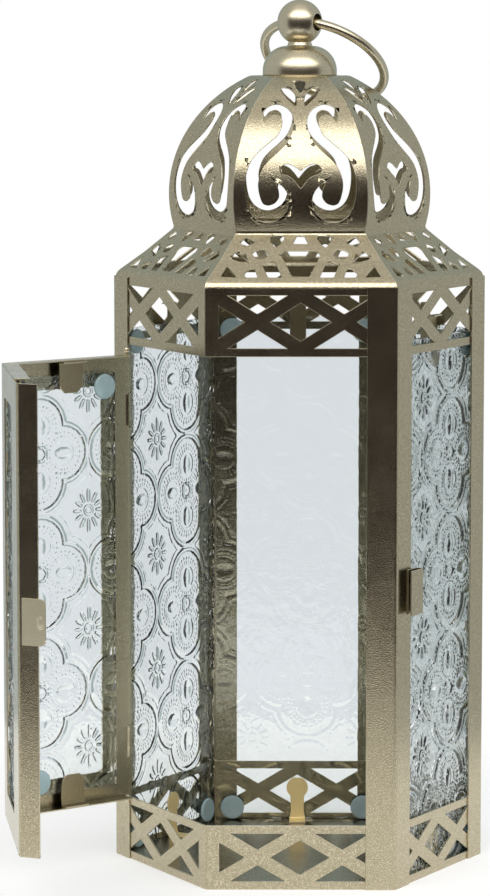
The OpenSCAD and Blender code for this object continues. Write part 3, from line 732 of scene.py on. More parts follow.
# %% Section of a roof panel
FOOT_R, FOOT_Z = APOTHEM - SHOULDER_RUN, POST_TOP + SHOULDER_RISE
DOME_X = FOOT_R - DOME_R * math.cos(DOME_TUCK)
DOME_Z = FOOT_Z + DOME_R * math.sin(DOME_TUCK)
CROWN_END, EAVES_LIFT, EAVES_FOLD, ROOF_FOLD = 2.2 * MM, 1.1 * MM, 4.6 * MM, 2.0 * MM
dome_stop = math.degrees(math.acos((CROWN - DOME_X) / DOME_R))
dome_line = arc((DOME_X, DOME_Z), DOME_R, -math.degrees(DOME_TUCK), dome_stop, 120)
half_way = [(APOTHEM + FOOT_R) / 2, (POST_TOP + FOOT_Z) / 2]
ROOF_SECTION = np.concatenate([
    bent([[APOTHEM, EAVES_Z], [APOTHEM, POST_TOP + EAVES_LIFT], half_way], EAVES_FOLD)[:-1],
    bent(np.concatenate([[half_way], dome_line, [[CROWN_END, CROWN_Z]]]), ROOF_FOLD),
])
ROOF_S = lengths(ROOF_SECTION)
rising = ROOF_SECTION[:, 1] < CROWN_Z - 0.02 * MM
S_EAVES, S_FOOT, S_CROWN = np.interp(
    [POST_TOP, FOOT_Z, CROWN_Z - 0.03 * MM], ROOF_SECTION[rising][:, 1], ROOF_S[rising]
)
GORE_W, GORE_H = 2 * FOOT_R * TAN30, CROWN_Z - FOOT_Z
SHOULDER_L = math.hypot(SHOULDER_RISE, SHOULDER_RUN)
print("panel length", round(ROOF_S[-1] / MM, 1), "mm")
print("dome side", round(GORE_W / MM, 1), "x", round(GORE_H / MM, 1), "mm")

# %% Scrolls, petals and mosaic cells
SCROLL = [
    [28, 71.4, 1], [25.4, 77, 6.5], [18.3, 79.3, 7.8], [11.3, 76, 8.4], [9.7, 69.6, 8.8],
    [13.4, 61.5, 9.3], [20.4, 55.6, 10], [28.4, 49.8, 10.4], [34.6, 43, 10.4],
    [37.9, 31, 10], [34.6, 17.6, 11.6], [26.3, 12.8, 13.2], [17.2, 15.5, 11.6],
    [13.1, 22.2, 8], [14.9, 28.6, 4.4], [18.6, 32.4, 1],
]
PETAL = [[15, 92.2, 2], [10.4, 90, 6.6], [6.3, 86.2, 6.2], [3.6, 81.4, 1.2]]
BROW_TOP = [[0, 40.2], [4.2, 42.9], [9.5, 44.8], [13.9, 43.9], [16.6, 41.1]]
BROW_LOW = [[16.6, 41.1], [14.7, 38.6], [9.5, 37.3], [5, 34.3], [0, 29.1]]
DROP = [[0, 89.4], [2, 91.5], [4.2, 95.5], [2.8, 97.2], [0, 97.6]]
CELLS = [
    [[0.085, 0.915], [0.090, 0.972], [0.160, 0.958], [0.157, 0.853], [0.133, 0.746], [0.112, 0.789]],
    [[0.236, 0.845], [0.287, 0.949], [0.316, 0.831], [0.291, 0.761]],
    [[0.170, 0.606], [0.192, 0.713], [0.234, 0.685], [0.254, 0.634], [0.236, 0.535], [0.189, 0.535]],
    [[0.280, 0.431], [0.269, 0.442], [0.316, 0.620], [0.342, 0.662], [0.363, 0.535]],
    [[0.333, 0.166], [0.385, 0.386], [0.418, 0.177]],
    [[0.225, 0.166], [0.240, 0.330], [0.263, 0.338], [0.294, 0.239], [0.287, 0.166]],
    [[0.098, 0.166], [0.136, 0.479], [0.151, 0.507], [0.200, 0.408], [0.170, 0.166]],
]
MIDDLE_CELLS = [[[0.040, 0.817], [0.020, 0.958]], [[0.044, 0.183], [0.103, 0.606], [0.082, 0.685]]]


def smooth_curve(points, steps):
    """Catmull-Rom spline: each span is the cubic whose end slopes are half the chord of its neighbours."""
    p = np.asarray(points, float)
    wide = np.concatenate([p[:1], p, p[-1:]])
    t = (np.arange(steps) / steps)[None, :, None]
    a, b, c, d = (wide[i : len(p) - 1 + i, None, :] for i in range(4))
    square, cube = 2 * a - 5 * b + 4 * c - d, 3 * b - a - 3 * c + d
    spans = b + (c - a) * t / 2 + square * t**2 / 2 + cube * t**3 / 2
    return np.concatenate([spans.reshape(-1, p.shape[1]), p[-1:]])


def pen_stroke(points):
    """Outline of a line whose width changes: the middle line moved half a width to either side."""
    run = np.gradient(points[:, :2], axis=0)
    beside = np.stack([-run[:, 1], run[:, 0]], -1) / np.linalg.norm(run, axis=1)[:, None]
    reach = beside * points[:, 2:] / 2
    return np.concatenate([points[:, :2] + reach, (points[:, :2] - reach)[::-1]])


def dome_openings():
    """Dome openings in (x along the side, height), in metres from the dome's foot."""
    size = np.array([GORE_W, GORE_H]) / 100
    loops = []
    for line in (SCROLL, PETAL):
        drawn = np.array(line) * [*size, size[0]]
        loop = pen_stroke(smooth_curve(drawn, 8))
        loops += [loop, loop * MIRROR]
    half_brow = np.concatenate([smooth_curve(BROW_TOP, 6), smooth_curve(BROW_LOW, 6)[1:]])
    for half in (half_brow, smooth_curve(DROP, 5)):
        loops.append(np.concatenate([half, (half * MIRROR)[::-1][1:-1]]) * size)
    return [softened(loop, 0.5 * MM) for loop in loops]


def shoulder_openings():
    """Mosaic cells in (x along the side, distance up the slope), in metres."""
    size = np.array([SIDE, SHOULDER_L])
    loops = [np.array(cell) * size * hand for cell in CELLS for hand in (np.ones(2), MIRROR)]
    for cell in MIDDLE_CELLS:
        half = np.array(cell)
        loops.append(np.concatenate([half, (half * MIRROR)[::-1]]) * size)
    return [softened(loop, 0.9 * MM) for loop in loops]


print(len(dome_openings()), "dome openings and", len(shoulder_openings()), "mosaic cells on each panel")

# %% Roof panels
SEAM = 0.1 * MM


def panel_shape():
    """Blank of a roof panel: half width = distance from the axis x tan 30; rows crowd at the folds."""
    rows = stations(0, ROOF_S[-1], [S_EAVES, S_FOOT, S_CROWN], 1.3 * MM, 0.35 * MM, 2.4 * MM)
    spot, _ = along(ROOF_SECTION, rows)
    half = (spot[:, 0] - SEAM) * TAN30
    outline = np.concatenate([np.stack([half, rows], -1), np.stack([-half, rows], -1)[::-1]])
    holes = lattice_openings(SIDE, POST_TOP - EAVES_Z)
    holes += [cell + [0, S_EAVES] for cell in shoulder_openings()]
    for loop in dome_openings():
        s = np.interp(loop[:, 1] + FOOT_Z, ROOF_SECTION[rising][:, 1], ROOF_S[rising])
        holes.append(np.stack([loop[:, 0], s], -1))
    columns = stations(-SIDE / 2, SIDE / 2, [], 1.6 * MM, 1 * MM, 0)
    flat, faces = cut_blank(outline, holes, columns, rows, 0.7 * MM)
    spot, _ = along(ROOF_SECTION, flat[:, 1])
    return np.stack([flat[:, 0], -spot[:, 0], spot[:, 1]], -1), faces


panel = panel_shape()
for k, side_name in enumerate(SIDE_NAMES):
    make_sheet("roof_panel_" + side_name, on_side(panel, k), "lantern", ["roof_" + side_name])
print("roof panel:", len(panel[0]), "points,", len(panel[1]), "triangles before its thickness")

# %% [markdown]
# ## Pressed glass
# Rolled glass takes its pattern from an engraved roller: medallions of four lobes with a cross of
# petals inside, a daisy in each gap, and rows of fine dots. The pattern is a height over the pane,
# worked out on a grid of points 0.4 mm apart, and it is raised for real, because glass shows a
# pattern by bending light and not by its colour. The inner face is flat and closes the solid. Each
# pane is cut from the sheet at a place of its own, and its relief is as deep as the roller pressed.

# %% Height of the pattern
# All in millimetres. A lobe is given by how far its middle is from the medallion's, and its radius.
MEDALLION_W, MEDALLION_H, MIDDLE_R = 44.0, 44.9, 11.0
UPRIGHT_LOBE, SIDE_LOBE = (10.3, 11.2), (10.6, 10.8)
DOT_PITCH, DOTS_ROUND, DOTS_FROM, DOTS_TO = 1.55, 26, 5.2, 9.3
BOSS_W, BOSS_H, GROOVE_R = 2.5, 4.2, 5.0
RAYS, RAY_FROM, RAY_TO, RAY_LONGER = 12, 3.0, 7.4, 1.4


def ridge(distance, width):
    """A soft ridge: exp(-(distance / width) squared)."""
    return np.exp(-((distance / width) ** 2))


def lobe(p, q, far, r):
    """A round lobe centred at q = far: its rim distance, and the height of its dots and almond boss."""
    out, angle = np.hypot(p, q - far), np.arctan2(p, q - far)
    dots = np.clip(np.cos(2 * np.pi * out / DOT_PITCH), 0, 1) * np.clip(np.cos(DOTS_ROUND * angle), 0, 1)
    dots *= np.clip((out - DOTS_FROM) / 0.8, 0, 1) * np.clip((DOTS_TO - out) / 0.5, 0, 1)
    boss = np.clip(1 - np.hypot(p / BOSS_W, (q - far) / BOSS_H) ** 2, 0, 1)
    groove = ridge(out - GROOVE_R, 0.45) * (q > far - 3.5)
    return out - r, 0.8 * dots + boss + 0.4 * groove


def medallion(p, q):
    """Height of a medallion: a double rim round four lobes, their dots and bosses, and a middle ring."""
    p, q = np.abs(p), np.abs(q)
    upright_gap, upright_work = lobe(p, q, *UPRIGHT_LOBE)
    side_gap, side_work = lobe(q, p, *SIDE_LOBE)
    centre = np.hypot(p, q)
    rim_gap = np.minimum(np.minimum(upright_gap, side_gap), centre - MIDDLE_R)
    work = np.where(upright_gap < side_gap, upright_work, side_work)
    height = 0.95 * ridge(rim_gap, 0.95) + 0.45 * ridge(rim_gap - 2.5, 0.65)
    return height + work + 0.7 * ridge(centre - 2.7, 0.55) + 0.4 * ridge(centre, 0.8), rim_gap


def daisy(p, q):
    """Height of a daisy: rays round a small ring, the upright ones a little longer."""
    r, a = np.hypot(p, q), np.arctan2(p, q)
    off = (a + np.pi / RAYS) % (2 * np.pi / RAYS) - np.pi / RAYS
    tip = RAY_TO + RAY_LONGER * np.abs(np.cos(a)) ** 6
    span = np.clip((r - RAY_FROM) / 0.8, 0, 1) * np.clip((tip - r) / 1.5, 0, 1)
    return 0.85 * ridge(r * np.sin(off), 0.55) * span + 0.7 * ridge(r - 1.7, 0.45) + 0.4 * ridge(r, 0.5)


def pattern_height(x, z):
    """Height from 0 to 1 at x and z in millimetres: medallions in rows and columns, daisies between."""
    p = (x / MEDALLION_W + 0.5) % 1 * MEDALLION_W - MEDALLION_W / 2
    q = (z / MEDALLION_H + 0.5) % 1 * MEDALLION_H - MEDALLION_H / 2
    height, gap = medallion(p, q)
    p2 = x / MEDALLION_W % 1 * MEDALLION_W - MEDALLION_W / 2
    q2 = z / MEDALLION_H % 1 * MEDALLION_H - MEDALLION_H / 2
    height += daisy(p2, q2) * np.clip((gap - 2.0) / 0.6, 0, 1)
    ripple = np.sin(x * 1.9 + 2 * np.sin(z * 0.7)) * np.sin(z * 1.6 + 2 * np.sin(x * 0.9))
    return np.clip(height, 0, 1.2) / 1.2 * 0.93 + 0.035 * (1 + ripple)


sample = pattern_height(*np.meshgrid(np.arange(0.0, MEDALLION_W), np.arange(0.0, MEDALLION_H)))
print("pattern height from", round(float(sample.min()), 2), "to", round(float(sample.max()), 2))

# %% Panes
GLASS_GRID, EDGE_FADE = 0.4 * MM, 0.8 * MM


def pane_shape(x0, x1, z0, z1, across, shift, relief):
    """Closed plate: a raised outer face on a grid, four edges, and one flat inner face."""
    nx, nz = round((x1 - x0) / GLASS_GRID) + 1, round((z1 - z0) / GLASS_GRID) + 1
    x, z = np.meshgrid(np.linspace(x0, x1, nx), np.linspace(z0, z1, nz))
    inset = np.minimum.reduce([x - x0, x1 - x, z - z0, z1 - z])
    height = pattern_height((x - shift[0]) / MM, (z - shift[1]) / MM) * np.clip(inset / EDGE_FADE, 0, 1)
    face = np.stack([x, -(across - relief * (1 - height)), z], -1).reshape(-1, 3)
    number = np.arange(nx * nz).reshape(nz, nx)
    loop = np.concatenate([number[0, :-1], number[:-1, -1], number[-1, :0:-1], number[:0:-1, 0]])
    behind = face[loop] * [1, 0, 1] + [0, -(across - GLASS), 0]
    back = nx * nz + np.arange(len(loop))
    walls = np.stack([loop, back, np.roll(back, -1), np.roll(loop, -1)], -1)
    faces = grid_faces(nz, nx).tolist() + walls.tolist() + [back[::-1].tolist()]
    return np.concatenate([face, behind]), faces


PANE_LAP, PANE_GAP = 5 * MM, 1 * MM
INNER = APOTHEM - SHEET
PANE_IN = INNER - GLASS
PANE_HALF = PANE_IN * TAN30 - PANE_GAP / 2
PANE_TOP = EAVES_Z + PANE_LAP
FIXED_PANES = {
    FRONT_RIGHT: (10.5, 24, 0.75), BACK_RIGHT: (0, 30, 0.7),
    BACK: (-4, 12, 0.35), BACK_LEFT: (-13, 1.5, 0.75),
}


def make_pane(name, shape, body, stands_for):
    """A glass piece with crisp edges."""
    return make_piece(name, shape, body, [PRESSED_GLASS], [stands_for], sharp=60)


for k, (shift_x, shift_z, relief) in FIXED_PANES.items():
    shift = (shift_x * MM, shift_z * MM)
    shape = pane_shape(-PANE_HALF, PANE_HALF, FLOOR_T, PANE_TOP, INNER, shift, relief * MM)
    make_pane("glass_" + SIDE_NAMES[k], on_side(shape, k), "lantern", "pane_" + SIDE_NAMES[k])
print("each fixed pane:", len(shape[1]), "faces")

# %% [markdown]
# ## The door
# The door is one blank: two leaves with a window each, a lip that folds round the latch post, a
# flange turned in along the top and the bottom, notched where the corner bends, and a strip that is
# rolled into the hinge barrel. The blank is mapped through two lines: a plan line with the roll and the
# two bends, and a section line with the two flanges. point = plan(s) + normal(s) x offset(v).

# %% Blank and folds of the door
STRIP_HINGE, STRIP_BEND, STRIP_FREE, STRIP_END = 13.6 * MM, 12 * MM, 22 * MM, 11 * MM
DOOR_LAP, DOOR_RETURN, LIP = 5 * MM, 6.5 * MM, 7.3 * MM
KNUCKLE_H, KNUCKLE_IN, PLAY = 12 * MM, 15 * MM, 0.3 * MM
KNUCKLE_Z = [DOOR_Z0 + KNUCKLE_IN, DOOR_Z1 - KNUCKLE_IN - KNUCKLE_H]
FREE_X = SIDE / 2 - FLANGE - 1.2 * MM
DOOR_FOLD, FLANGE_FOLD = 2.4 * MM, 1.3 * MM
ROLL_R, ROLL_SWEEP = BARREL_R - SHEET, 318


def rolled(sweep, count):
    """Plan of the rolled barrel: a circle round the hinge line, from the end of the curl to the sheet."""
    a = np.radians(np.linspace(sweep, 0, count))
    return at_side(FRONT_LEFT, HINGE_X - ROLL_R * np.sin(a), HINGE_D - ROLL_R * np.cos(a))


def door_plan():
    """Plan line of the shut door, and the distances along it of the hinge, the bend and the lip."""
    corner = DOOR_OUT * TAN30
    marks = [(FRONT_LEFT, HINGE_X), (FRONT_LEFT, corner), (FRONT, corner), (FRONT_RIGHT, LIP - SIDE / 2)]
    flats = bent([at_side(k, x, DOOR_OUT) for k, x in marks], DOOR_FOLD)
    curl = rolled(ROLL_SWEEP, 90)
    path = np.concatenate([curl[:-1], flats])
    at_hinge = lengths(curl)[-1]
    return path, at_hinge, at_hinge + corner - HINGE_X, at_hinge + 3 * corner - HINGE_X, corner


DOOR_PLAN, S_HINGE, S_BEND, S_LIP, LEAF_HALF = door_plan()
S_END = lengths(DOOR_PLAN)[-1]
DOOR_SECTION = bent(
    [[-DOOR_RETURN, DOOR_Z0], [0, DOOR_Z0], [0, DOOR_Z1], [-DOOR_RETURN, DOOR_Z1]], FLANGE_FOLD
)
V_LOW, V_TOP = DOOR_RETURN, DOOR_RETURN + DOOR_Z1 - DOOR_Z0
V_END = lengths(DOOR_SECTION)[-1]


def side_s(x):
    """Distance along the door's plan of a place x on the hinge leaf."""
    return S_HINGE + x - HINGE_X


def front_s(x):
    """Distance along the door's plan of a place x on the wide leaf."""
    return S_BEND + LEAF_HALF + x


def door_shape():
    """The blank's outline goes round anticlockwise from the foot of the hinge leaf's flange."""
    slit, nick, mitre = 0.25 * MM, 0.4 * MM, V_LOW * TAN30
    start, stop = S_HINGE + 3 * MM, front_s(FREE_X)
    lip_start, lip_top = S_LIP + 1.2 * MM, V_TOP - 0.2 * MM
    low = [[start, 0], [S_BEND - slit - mitre, 0], [S_BEND - slit, V_LOW - nick],
           [S_BEND + slit, V_LOW - nick], [S_BEND + slit + mitre, 0], [stop, 0], [stop, V_LOW]]
    lip = [[S_END, V_LOW], [S_END, lip_top], [lip_start, lip_top], [lip_start, V_TOP]]
    top = [[s, V_END - v] for s, v in low[::-1]]
    left = [[start, V_TOP], [0, V_TOP]]
    notch = S_HINGE + 1.5 * MM
    for z in KNUCKLE_Z[::-1]:
        high, foot = V_LOW + z + KNUCKLE_H + PLAY - DOOR_Z0, V_LOW + z - PLAY - DOOR_Z0
        left += [[0, high], [notch, high], [notch, foot], [0, foot]]
    left += [[0, V_LOW], [start, V_LOW]]
    outline = np.array(low + lip + top + left)
    windows = []
    for x0, x1 in ((side_s(HINGE_X + STRIP_HINGE), side_s(SIDE / 2 - STRIP_BEND)),
                   (front_s(STRIP_BEND - SIDE / 2), front_s(SIDE / 2 - STRIP_FREE))):
        v0, v1 = V_LOW + STRIP_END, V_TOP - STRIP_END
        windows.append(softened(np.array([[x0, v0], [x1, v0], [x1, v1], [x0, v1]]), 1.4 * MM))
    columns = stations(0, S_END, [S_HINGE / 2, S_BEND, S_LIP], 2.6 * MM, 0.28 * MM, 1.8 * MM)
    columns = np.unique(np.concatenate([columns, np.linspace(0, S_HINGE, 18)]))
    rows = stations(0, V_END, [V_LOW, V_TOP], 2.6 * MM, 0.28 * MM, 1.2 * MM)
    flat, faces = cut_blank(outline, windows, columns, rows, 0.5 * MM)
    fold, _ = along(DOOR_SECTION, flat[:, 1] * (V_END / (V_TOP + DOOR_RETURN)))
    spot, normal = along(DOOR_PLAN, flat[:, 0])
    plan = spot + normal * fold[:, :1]
    return np.column_stack([plan, fold[:, 1]]), faces


door = make_sheet("door_sheet", swung(door_shape()), "door", ["door_frame"])
print("door blank:", round(S_END / MM, 1), "x", round(V_END / MM, 1), "mm")
print("door sheet:", len(door.data.vertices), "points")

# %% [markdown]
# ## The door's own glass
# Each leaf has a pane behind its window, let into the leaf by a lap all round. It is the same pressed
# glass, drawn on the shut door and swung open with it.

# %% Door panes
DOOR_PANES = {
    "side": (FRONT_LEFT, HINGE_X + STRIP_HINGE, SIDE / 2 - STRIP_BEND, (20.6, 25.2)),
    "front": (FRONT, STRIP_BEND - SIDE / 2, SIDE / 2 - STRIP_FREE, (-5, 14)),
}
DOOR_RELIEF = 0.95 * MM
GLASS_Z0, GLASS_Z1 = DOOR_Z0 + STRIP_END - DOOR_LAP, DOOR_Z1 - STRIP_END + DOOR_LAP
for name, (k, x0, x1, (shift_x, shift_z)) in DOOR_PANES.items():
    shift = (shift_x * MM, shift_z * MM)
    shape = pane_shape(x0 - DOOR_LAP, x1 + DOOR_LAP, GLASS_Z0, GLASS_Z1, DOOR_IN, shift, DOOR_RELIEF)
    make_pane("door_glass_" + name, swung(on_side(shape, k)), "door", "door_pane_" + name)
print("door panes:", round((GLASS_Z1 - GLASS_Z0) / MM, 1), "mm high")

# %% [markdown]
# ## Tabs that hold the glass
# Small tabs are cut from the same sheet and bent up. Each is a blank in (x, distance along the fold),
# carried over a bent section in (distance from the axis, height). The ones on the floor have a
# round head on a stem, and those behind the eaves hook over the top of the pane.

# %% Tabs
TAB_W, TAB_HEAD, TAB_H, TOP_TAB_L = 6.4 * MM, 8.6 * MM, 17.2 * MM, 16 * MM
DOOR_TAB_W, DOOR_TAB_L = 10.5 * MM, 12 * MM


def tab_shape(outline, section, window=1.2 * MM):
    """A narrow blank over a bent section: point = (x, -distance(v), height(v))."""
    path = bent(section, window)
    x, v = outline[:, 0], outline[:, 1]
    folds = lengths(np.asarray(section, float))[1:-1]
    columns = stations(x.min(), x.max(), [], 1.2 * MM, 1 * MM, 0)
    rows = stations(v.min(), v.max(), list(folds), 1.2 * MM, 0.25 * MM, 1.1 * MM)
    flat, faces = cut_blank(outline, [], columns, rows, 0.4 * MM)
    spot, _ = along(path, flat[:, 1])
    return np.stack([flat[:, 0], -spot[:, 0], spot[:, 1]], -1), faces


def floor_tab():
    """Foot, a waisted stem and a round head, standing against the glass and facing the middle."""
    foot, top = TAB_W, TAB_W + TAB_H - SHEET
    head = arc((0, top - TAB_HEAD / 2), TAB_HEAD / 2, -50, 230, 40)
    stem = bent([[TAB_W / 2, foot], [TAB_W / 2 * 0.8, foot + 3 * MM], head[0]], 2 * MM)[::6]
    outline = np.concatenate([[[-TAB_W / 2, 0], [TAB_W / 2, 0]], stem, head[1:-1], (stem * MIRROR)[::-1]])
    face, on_floor = PANE_IN - SHEET, FLOOR_T + SHEET
    return flipped(tab_shape(outline, [[face - foot, on_floor], [face, on_floor], [face, FLOOR_T + TAB_H]]))


def top_tab():
    """Hooked over the pane's top, with a round end that hangs down inside."""
    drop, hook = TOP_TAB_L + TAB_W / 2, GLASS
    end = arc((0, TAB_W / 2), TAB_W / 2, 180, 360, 24)
    outline = np.concatenate([end, [[TAB_W / 2, drop + hook], [-TAB_W / 2, drop + hook]]])
    face, high = PANE_IN - SHEET, PANE_TOP + TOP_TAB_L / 2
    return flipped(tab_shape(outline, [[face, high - drop], [face, high], [face + hook, high]]))


def door_tab(low):
    """Turned in from the door's flange, with a round end over the glass."""
    face = DOOR_IN - GLASS - SHEET
    foot = DOOR_RETURN - GLASS - SHEET
    edge, up = (DOOR_Z0 + SHEET, 1) if low else (DOOR_Z1 - SHEET, -1)
    end = arc((0, foot + DOOR_TAB_L - DOOR_TAB_W / 2), DOOR_TAB_W / 2, 0, 180, 30)
    outline = np.concatenate([[[-DOOR_TAB_W / 2, 0], [DOOR_TAB_W / 2, 0]], end])
    start, tip = edge + up * SHEET, edge + up * DOOR_TAB_L
    shape = tab_shape(outline, [[face - foot, start], [face, start], [face, tip]])
    return flipped(shape) if low else shape


def make_tab(node, shape, body, painted_light_copy):
    """A tab of sheet that stands for its node. Its gold is one of the two tab copies: the lighter one is
    painted light, the darker one painted shade.
    """
    make_sheet("bent_" + node, shape, body, [node], materials=[painted_light_copy, EDGE_METAL_AND_HIGHLIGHT])


# The floor tabs take the lighter copy of the tab gold, painted light; the tabs at the eaves take the darker
# copy, painted shade.
TABS = {"floor_tab_": (floor_tab(), TAB_PAINTED_LIGHT), "top_tab_": (top_tab(), TAB_PAINTED_SHADE)}
for k in FIXED_PANES:
    for label, (shape, painted_light_copy) in TABS.items():
        node = label + SIDE_NAMES[k]
        make_tab(node, on_side(shape, k), "lantern", painted_light_copy)

SIDE_MID = (HINGE_X + STRIP_HINGE + SIDE / 2 - STRIP_BEND) / 2
FRONT_MID = (STRIP_BEND - STRIP_FREE) / 2
for low, label in ((False, "top"), (True, "low")):
    points, faces = door_tab(low)
    places = (FRONT_LEFT, SIDE_MID), (FRONT, FRONT_MID)
    pair = [swung(on_side((points + [x, 0, 0], faces), k)) for k, x in places]
    # The door tabs take the darker copy of the tab gold, painted shade.
    make_tab("door_tabs_" + label, joined(pair), "door", TAB_PAINTED_SHADE)
print("tabs made; pieces so far:", len(PIECES))

# %% [markdown]
# ## Soft dots
# Clear silicone dots cushion the panes at their corners. One dot is a low cushion: a turned profile
# with a round edge. The same few faces are placed twenty times.

# %% Dots
DOT_R, DOT_T, DOT_IN, DOT_EDGE = 4.75 * MM, 1.2 * MM, 0.4 * MM, 0.75 * MM


def dot_shape():
    """Profile (radius, height) from the glass round the soft edge to the middle of the top."""
    foot = [[0, 0], [DOT_R - 0.2 * MM, 0]]
    edge = arc((DOT_R - DOT_EDGE, 0.55 * MM), DOT_EDGE, -30, 60, 7)
    crown = np.stack([np.linspace(DOT_R - 1.2 * MM, 0, 6), np.linspace(DOT_T * 0.93, DOT_T, 6)], -1)
    points, faces = turned(np.concatenate([foot, edge, crown]), 40, closed=False)
    return points[:, [0, 2, 1]], faces


def dots_at(places, across):
    """Dots on the inner face of panes at (side, x, z)."""
    points, faces = dot_shape()
    return joined([on_side((points + [x, -across, z], faces), k) for k, x, z in places])


def make_dots(name, shape, body, stands_for):
    """One piece of many dots."""
    make_piece(name, shape, body, [SOFT_DOT], [stands_for], weld=True, sharp=50)


inset = DOT_R + DOT_IN
fixed = [(k, hand * (PANE_HALF - inset - DOT_T), z) for k in FIXED_PANES for hand in (-1, 1)
         for z in (FLOOR_T + inset, PANE_TOP - inset)]
make_dots("cushion_dots", dots_at(fixed, PANE_IN), "lantern", "pane_dots")

z_low, z_top = GLASS_Z0 + inset, GLASS_Z1 - inset
side_near, side_far = HINGE_X + STRIP_HINGE - DOOR_LAP + inset, SIDE / 2 - STRIP_BEND + DOOR_LAP - inset
front_near, front_far = STRIP_BEND - SIDE / 2 - DOOR_LAP + inset, SIDE / 2 - STRIP_FREE + DOOR_LAP - inset
on_door = [(FRONT_LEFT, side_near, z_top), (FRONT_LEFT, side_far, z_low),
           (FRONT, front_near, z_low), (FRONT, front_far, z_top)]
make_dots("door_cushion_dots", swung(dots_at(on_door, DOOR_IN - GLASS)), "door", "door_dots")
print(len(fixed), "dots on the fixed panes and", len(on_door), "on the door")

# %% [markdown]
# ## The hinge
# A knuckle is a short strip rolled round the pin, with a leaf that is welded to the post. The pin is
# a wire with a bead at each end, which keeps it in the knuckles.

# %% Knuckles and pin
KNUCKLE_LEAF, KNUCKLE_T = 8 * MM, 0.55 * MM


def knuckle_shape(z):
    """The leaf on the post and the roll round the pin, carried up by the height of a knuckle."""
    leaf_x = HINGE_X - np.array([KNUCKLE_LEAF, 2.6 * MM, 0.9 * MM])
    leaf_d = POST_OUT + SHEET + np.array([0, 0, 0.24 * MM])
    leaf = at_side(FRONT_LEFT, leaf_x, leaf_d)
    path = even(np.concatenate([leaf, rolled(-ROLL_SWEEP, 60)[::-1]]), 0.12 * MM)
    return raised(path, np.linspace(z, z + KNUCKLE_H, 7))


knuckles = joined([knuckle_shape(z) for z in KNUCKLE_Z])
make_sheet("rolled_knuckles", knuckles, "lantern", ["hinge_knuckles"], thick=KNUCKLE_T)

PIN_BEAD = BARREL_R - 0.15 * MM


def pin_shape():
    """Wire with a round bead at each end: radius over height, turned round the hinge line."""
    low, high = DOOR_Z0 - PLAY - PIN_BEAD, DOOR_Z1 + PLAY + PIN_BEAD
    beads = [arc((0, low), PIN_BEAD, -90, 56, 14), arc((0, high), PIN_BEAD, -56, 90, 14)]
    points, faces = turned(np.concatenate(beads), 32, closed=False)
    return points + [*HINGE, 0], faces


pin = flipped(pin_shape())
make_piece("beaded_pin", pin, "lantern", [GOLD_TURNED], ["hinge_pin"], weld=True, sharp=40)
print("knuckles at", [round(z / MM, 1) for z in KNUCKLE_Z], "mm")

# %% [markdown]
# ## The latch
# The tongue is a small plate on the door's lip. A dimple pressed near its tip clicks into the catch on
# the post. The catch is folded from one strip into a flat pocket with its mouth towards the door.

# %% Latch
LATCH_Z = (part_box("latch_tongue")[0].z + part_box("latch_tongue")[1].z) / 2
LATCH_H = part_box("latch_tongue")[1].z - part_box("latch_tongue")[0].z
TONGUE_REACH, TONGUE_ROUND, TONGUE_T = 3 * MM, 2 * MM, 0.58 * MM
CATCH_IN, CATCH_L, CATCH_GAP, CATCH_FOOT = 5.5 * MM, 9.5 * MM, 1.95 * MM, 0.5 * MM


def tongue_shape():
    """Plate with two round corners; the dimple is a low half-sphere pressed out near its tip."""
    x0, x1 = 1 * MM - SIDE / 2, LIP + TONGUE_REACH - SIDE / 2
    r, half = TONGUE_ROUND, LATCH_H / 2
    low_round, high_round = arc((x1 - r, r - half), r, -90, 0, 12), arc((x1 - r, half - r), r, 0, 90, 12)
    outline = np.concatenate([[[x0, -half]], low_round, high_round, [[x0, half]]])
    fine = 0.35 * MM
    flat, faces = cut_blank(outline, [], np.arange(x0, x1, fine), np.arange(-half, half, fine), fine)
    gap = np.hypot((flat[:, 0] - (x1 - 2.0 * MM)) / (1.3 * MM), flat[:, 1] / (2.6 * MM))
    rise = 0.45 * MM * np.clip(1 - gap**2, 0, 1)
    return np.stack([flat[:, 0], -(DOOR_OUT + SHEET + rise), flat[:, 1] + LATCH_Z], -1), faces


tongue = swung(on_side(tongue_shape(), FRONT_RIGHT))
# The tongue takes the lighter, partly diffuse copy of the gold: painted light.
make_sheet("dimpled_tongue", tongue, "door", ["latch_tongue"], TONGUE_T,
           materials=[TONGUE_PAINTED_LIGHT, EDGE_METAL_AND_HIGHLIGHT])


def catch_shape():
    """Flat pocket: a strip that starts under the tongue, folds back over it and ends at the mouth."""
    near, mouth, far = LIP + 0.8 * MM - SIDE / 2, CATCH_IN - SIDE / 2, CATCH_IN + CATCH_L - SIDE / 2
    high = POST_OUT + CATCH_FOOT + CATCH_GAP + SHEET
    path = bent([[near, -POST_OUT], [far, -POST_OUT], [far, -high], [mouth, -high]], 0.9 * MM)[::4]
    return raised(path, np.linspace(LATCH_Z - LATCH_H / 2, LATCH_Z + LATCH_H / 2, 12))


catch = flipped(on_side(catch_shape(), FRONT_RIGHT))
make_sheet("folded_catch", catch, "lantern", ["latch_catch"], thick=CATCH_FOOT)
print("latch at", round(LATCH_Z / MM, 1), "mm")

# %% [markdown]
# ## Cap and ball
# The cap and the ball are spun and drawn metal, so each is a profile turned round an axis. The ball is
# turned round the axis of its own hole, which gives the hole and its soft lip in the same sweep.

# %% Cap and ball
BALL_R = 8.5 * MM
BALL_Z = BALL_TOP - BALL_R
CAP_R, CAP_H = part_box("cap")[1].x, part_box("cap")[1].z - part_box("cap")[0].z
CAP_ROUND, CAP_T, SCREW_HOLE = 9.4 * MM, 0.8 * MM, 2.3 * MM
COLLAR_R, COLLAR_H, BALL_BORE, RING_TURN = 4.7 * MM, 2.6 * MM, 3.2 * MM, -31


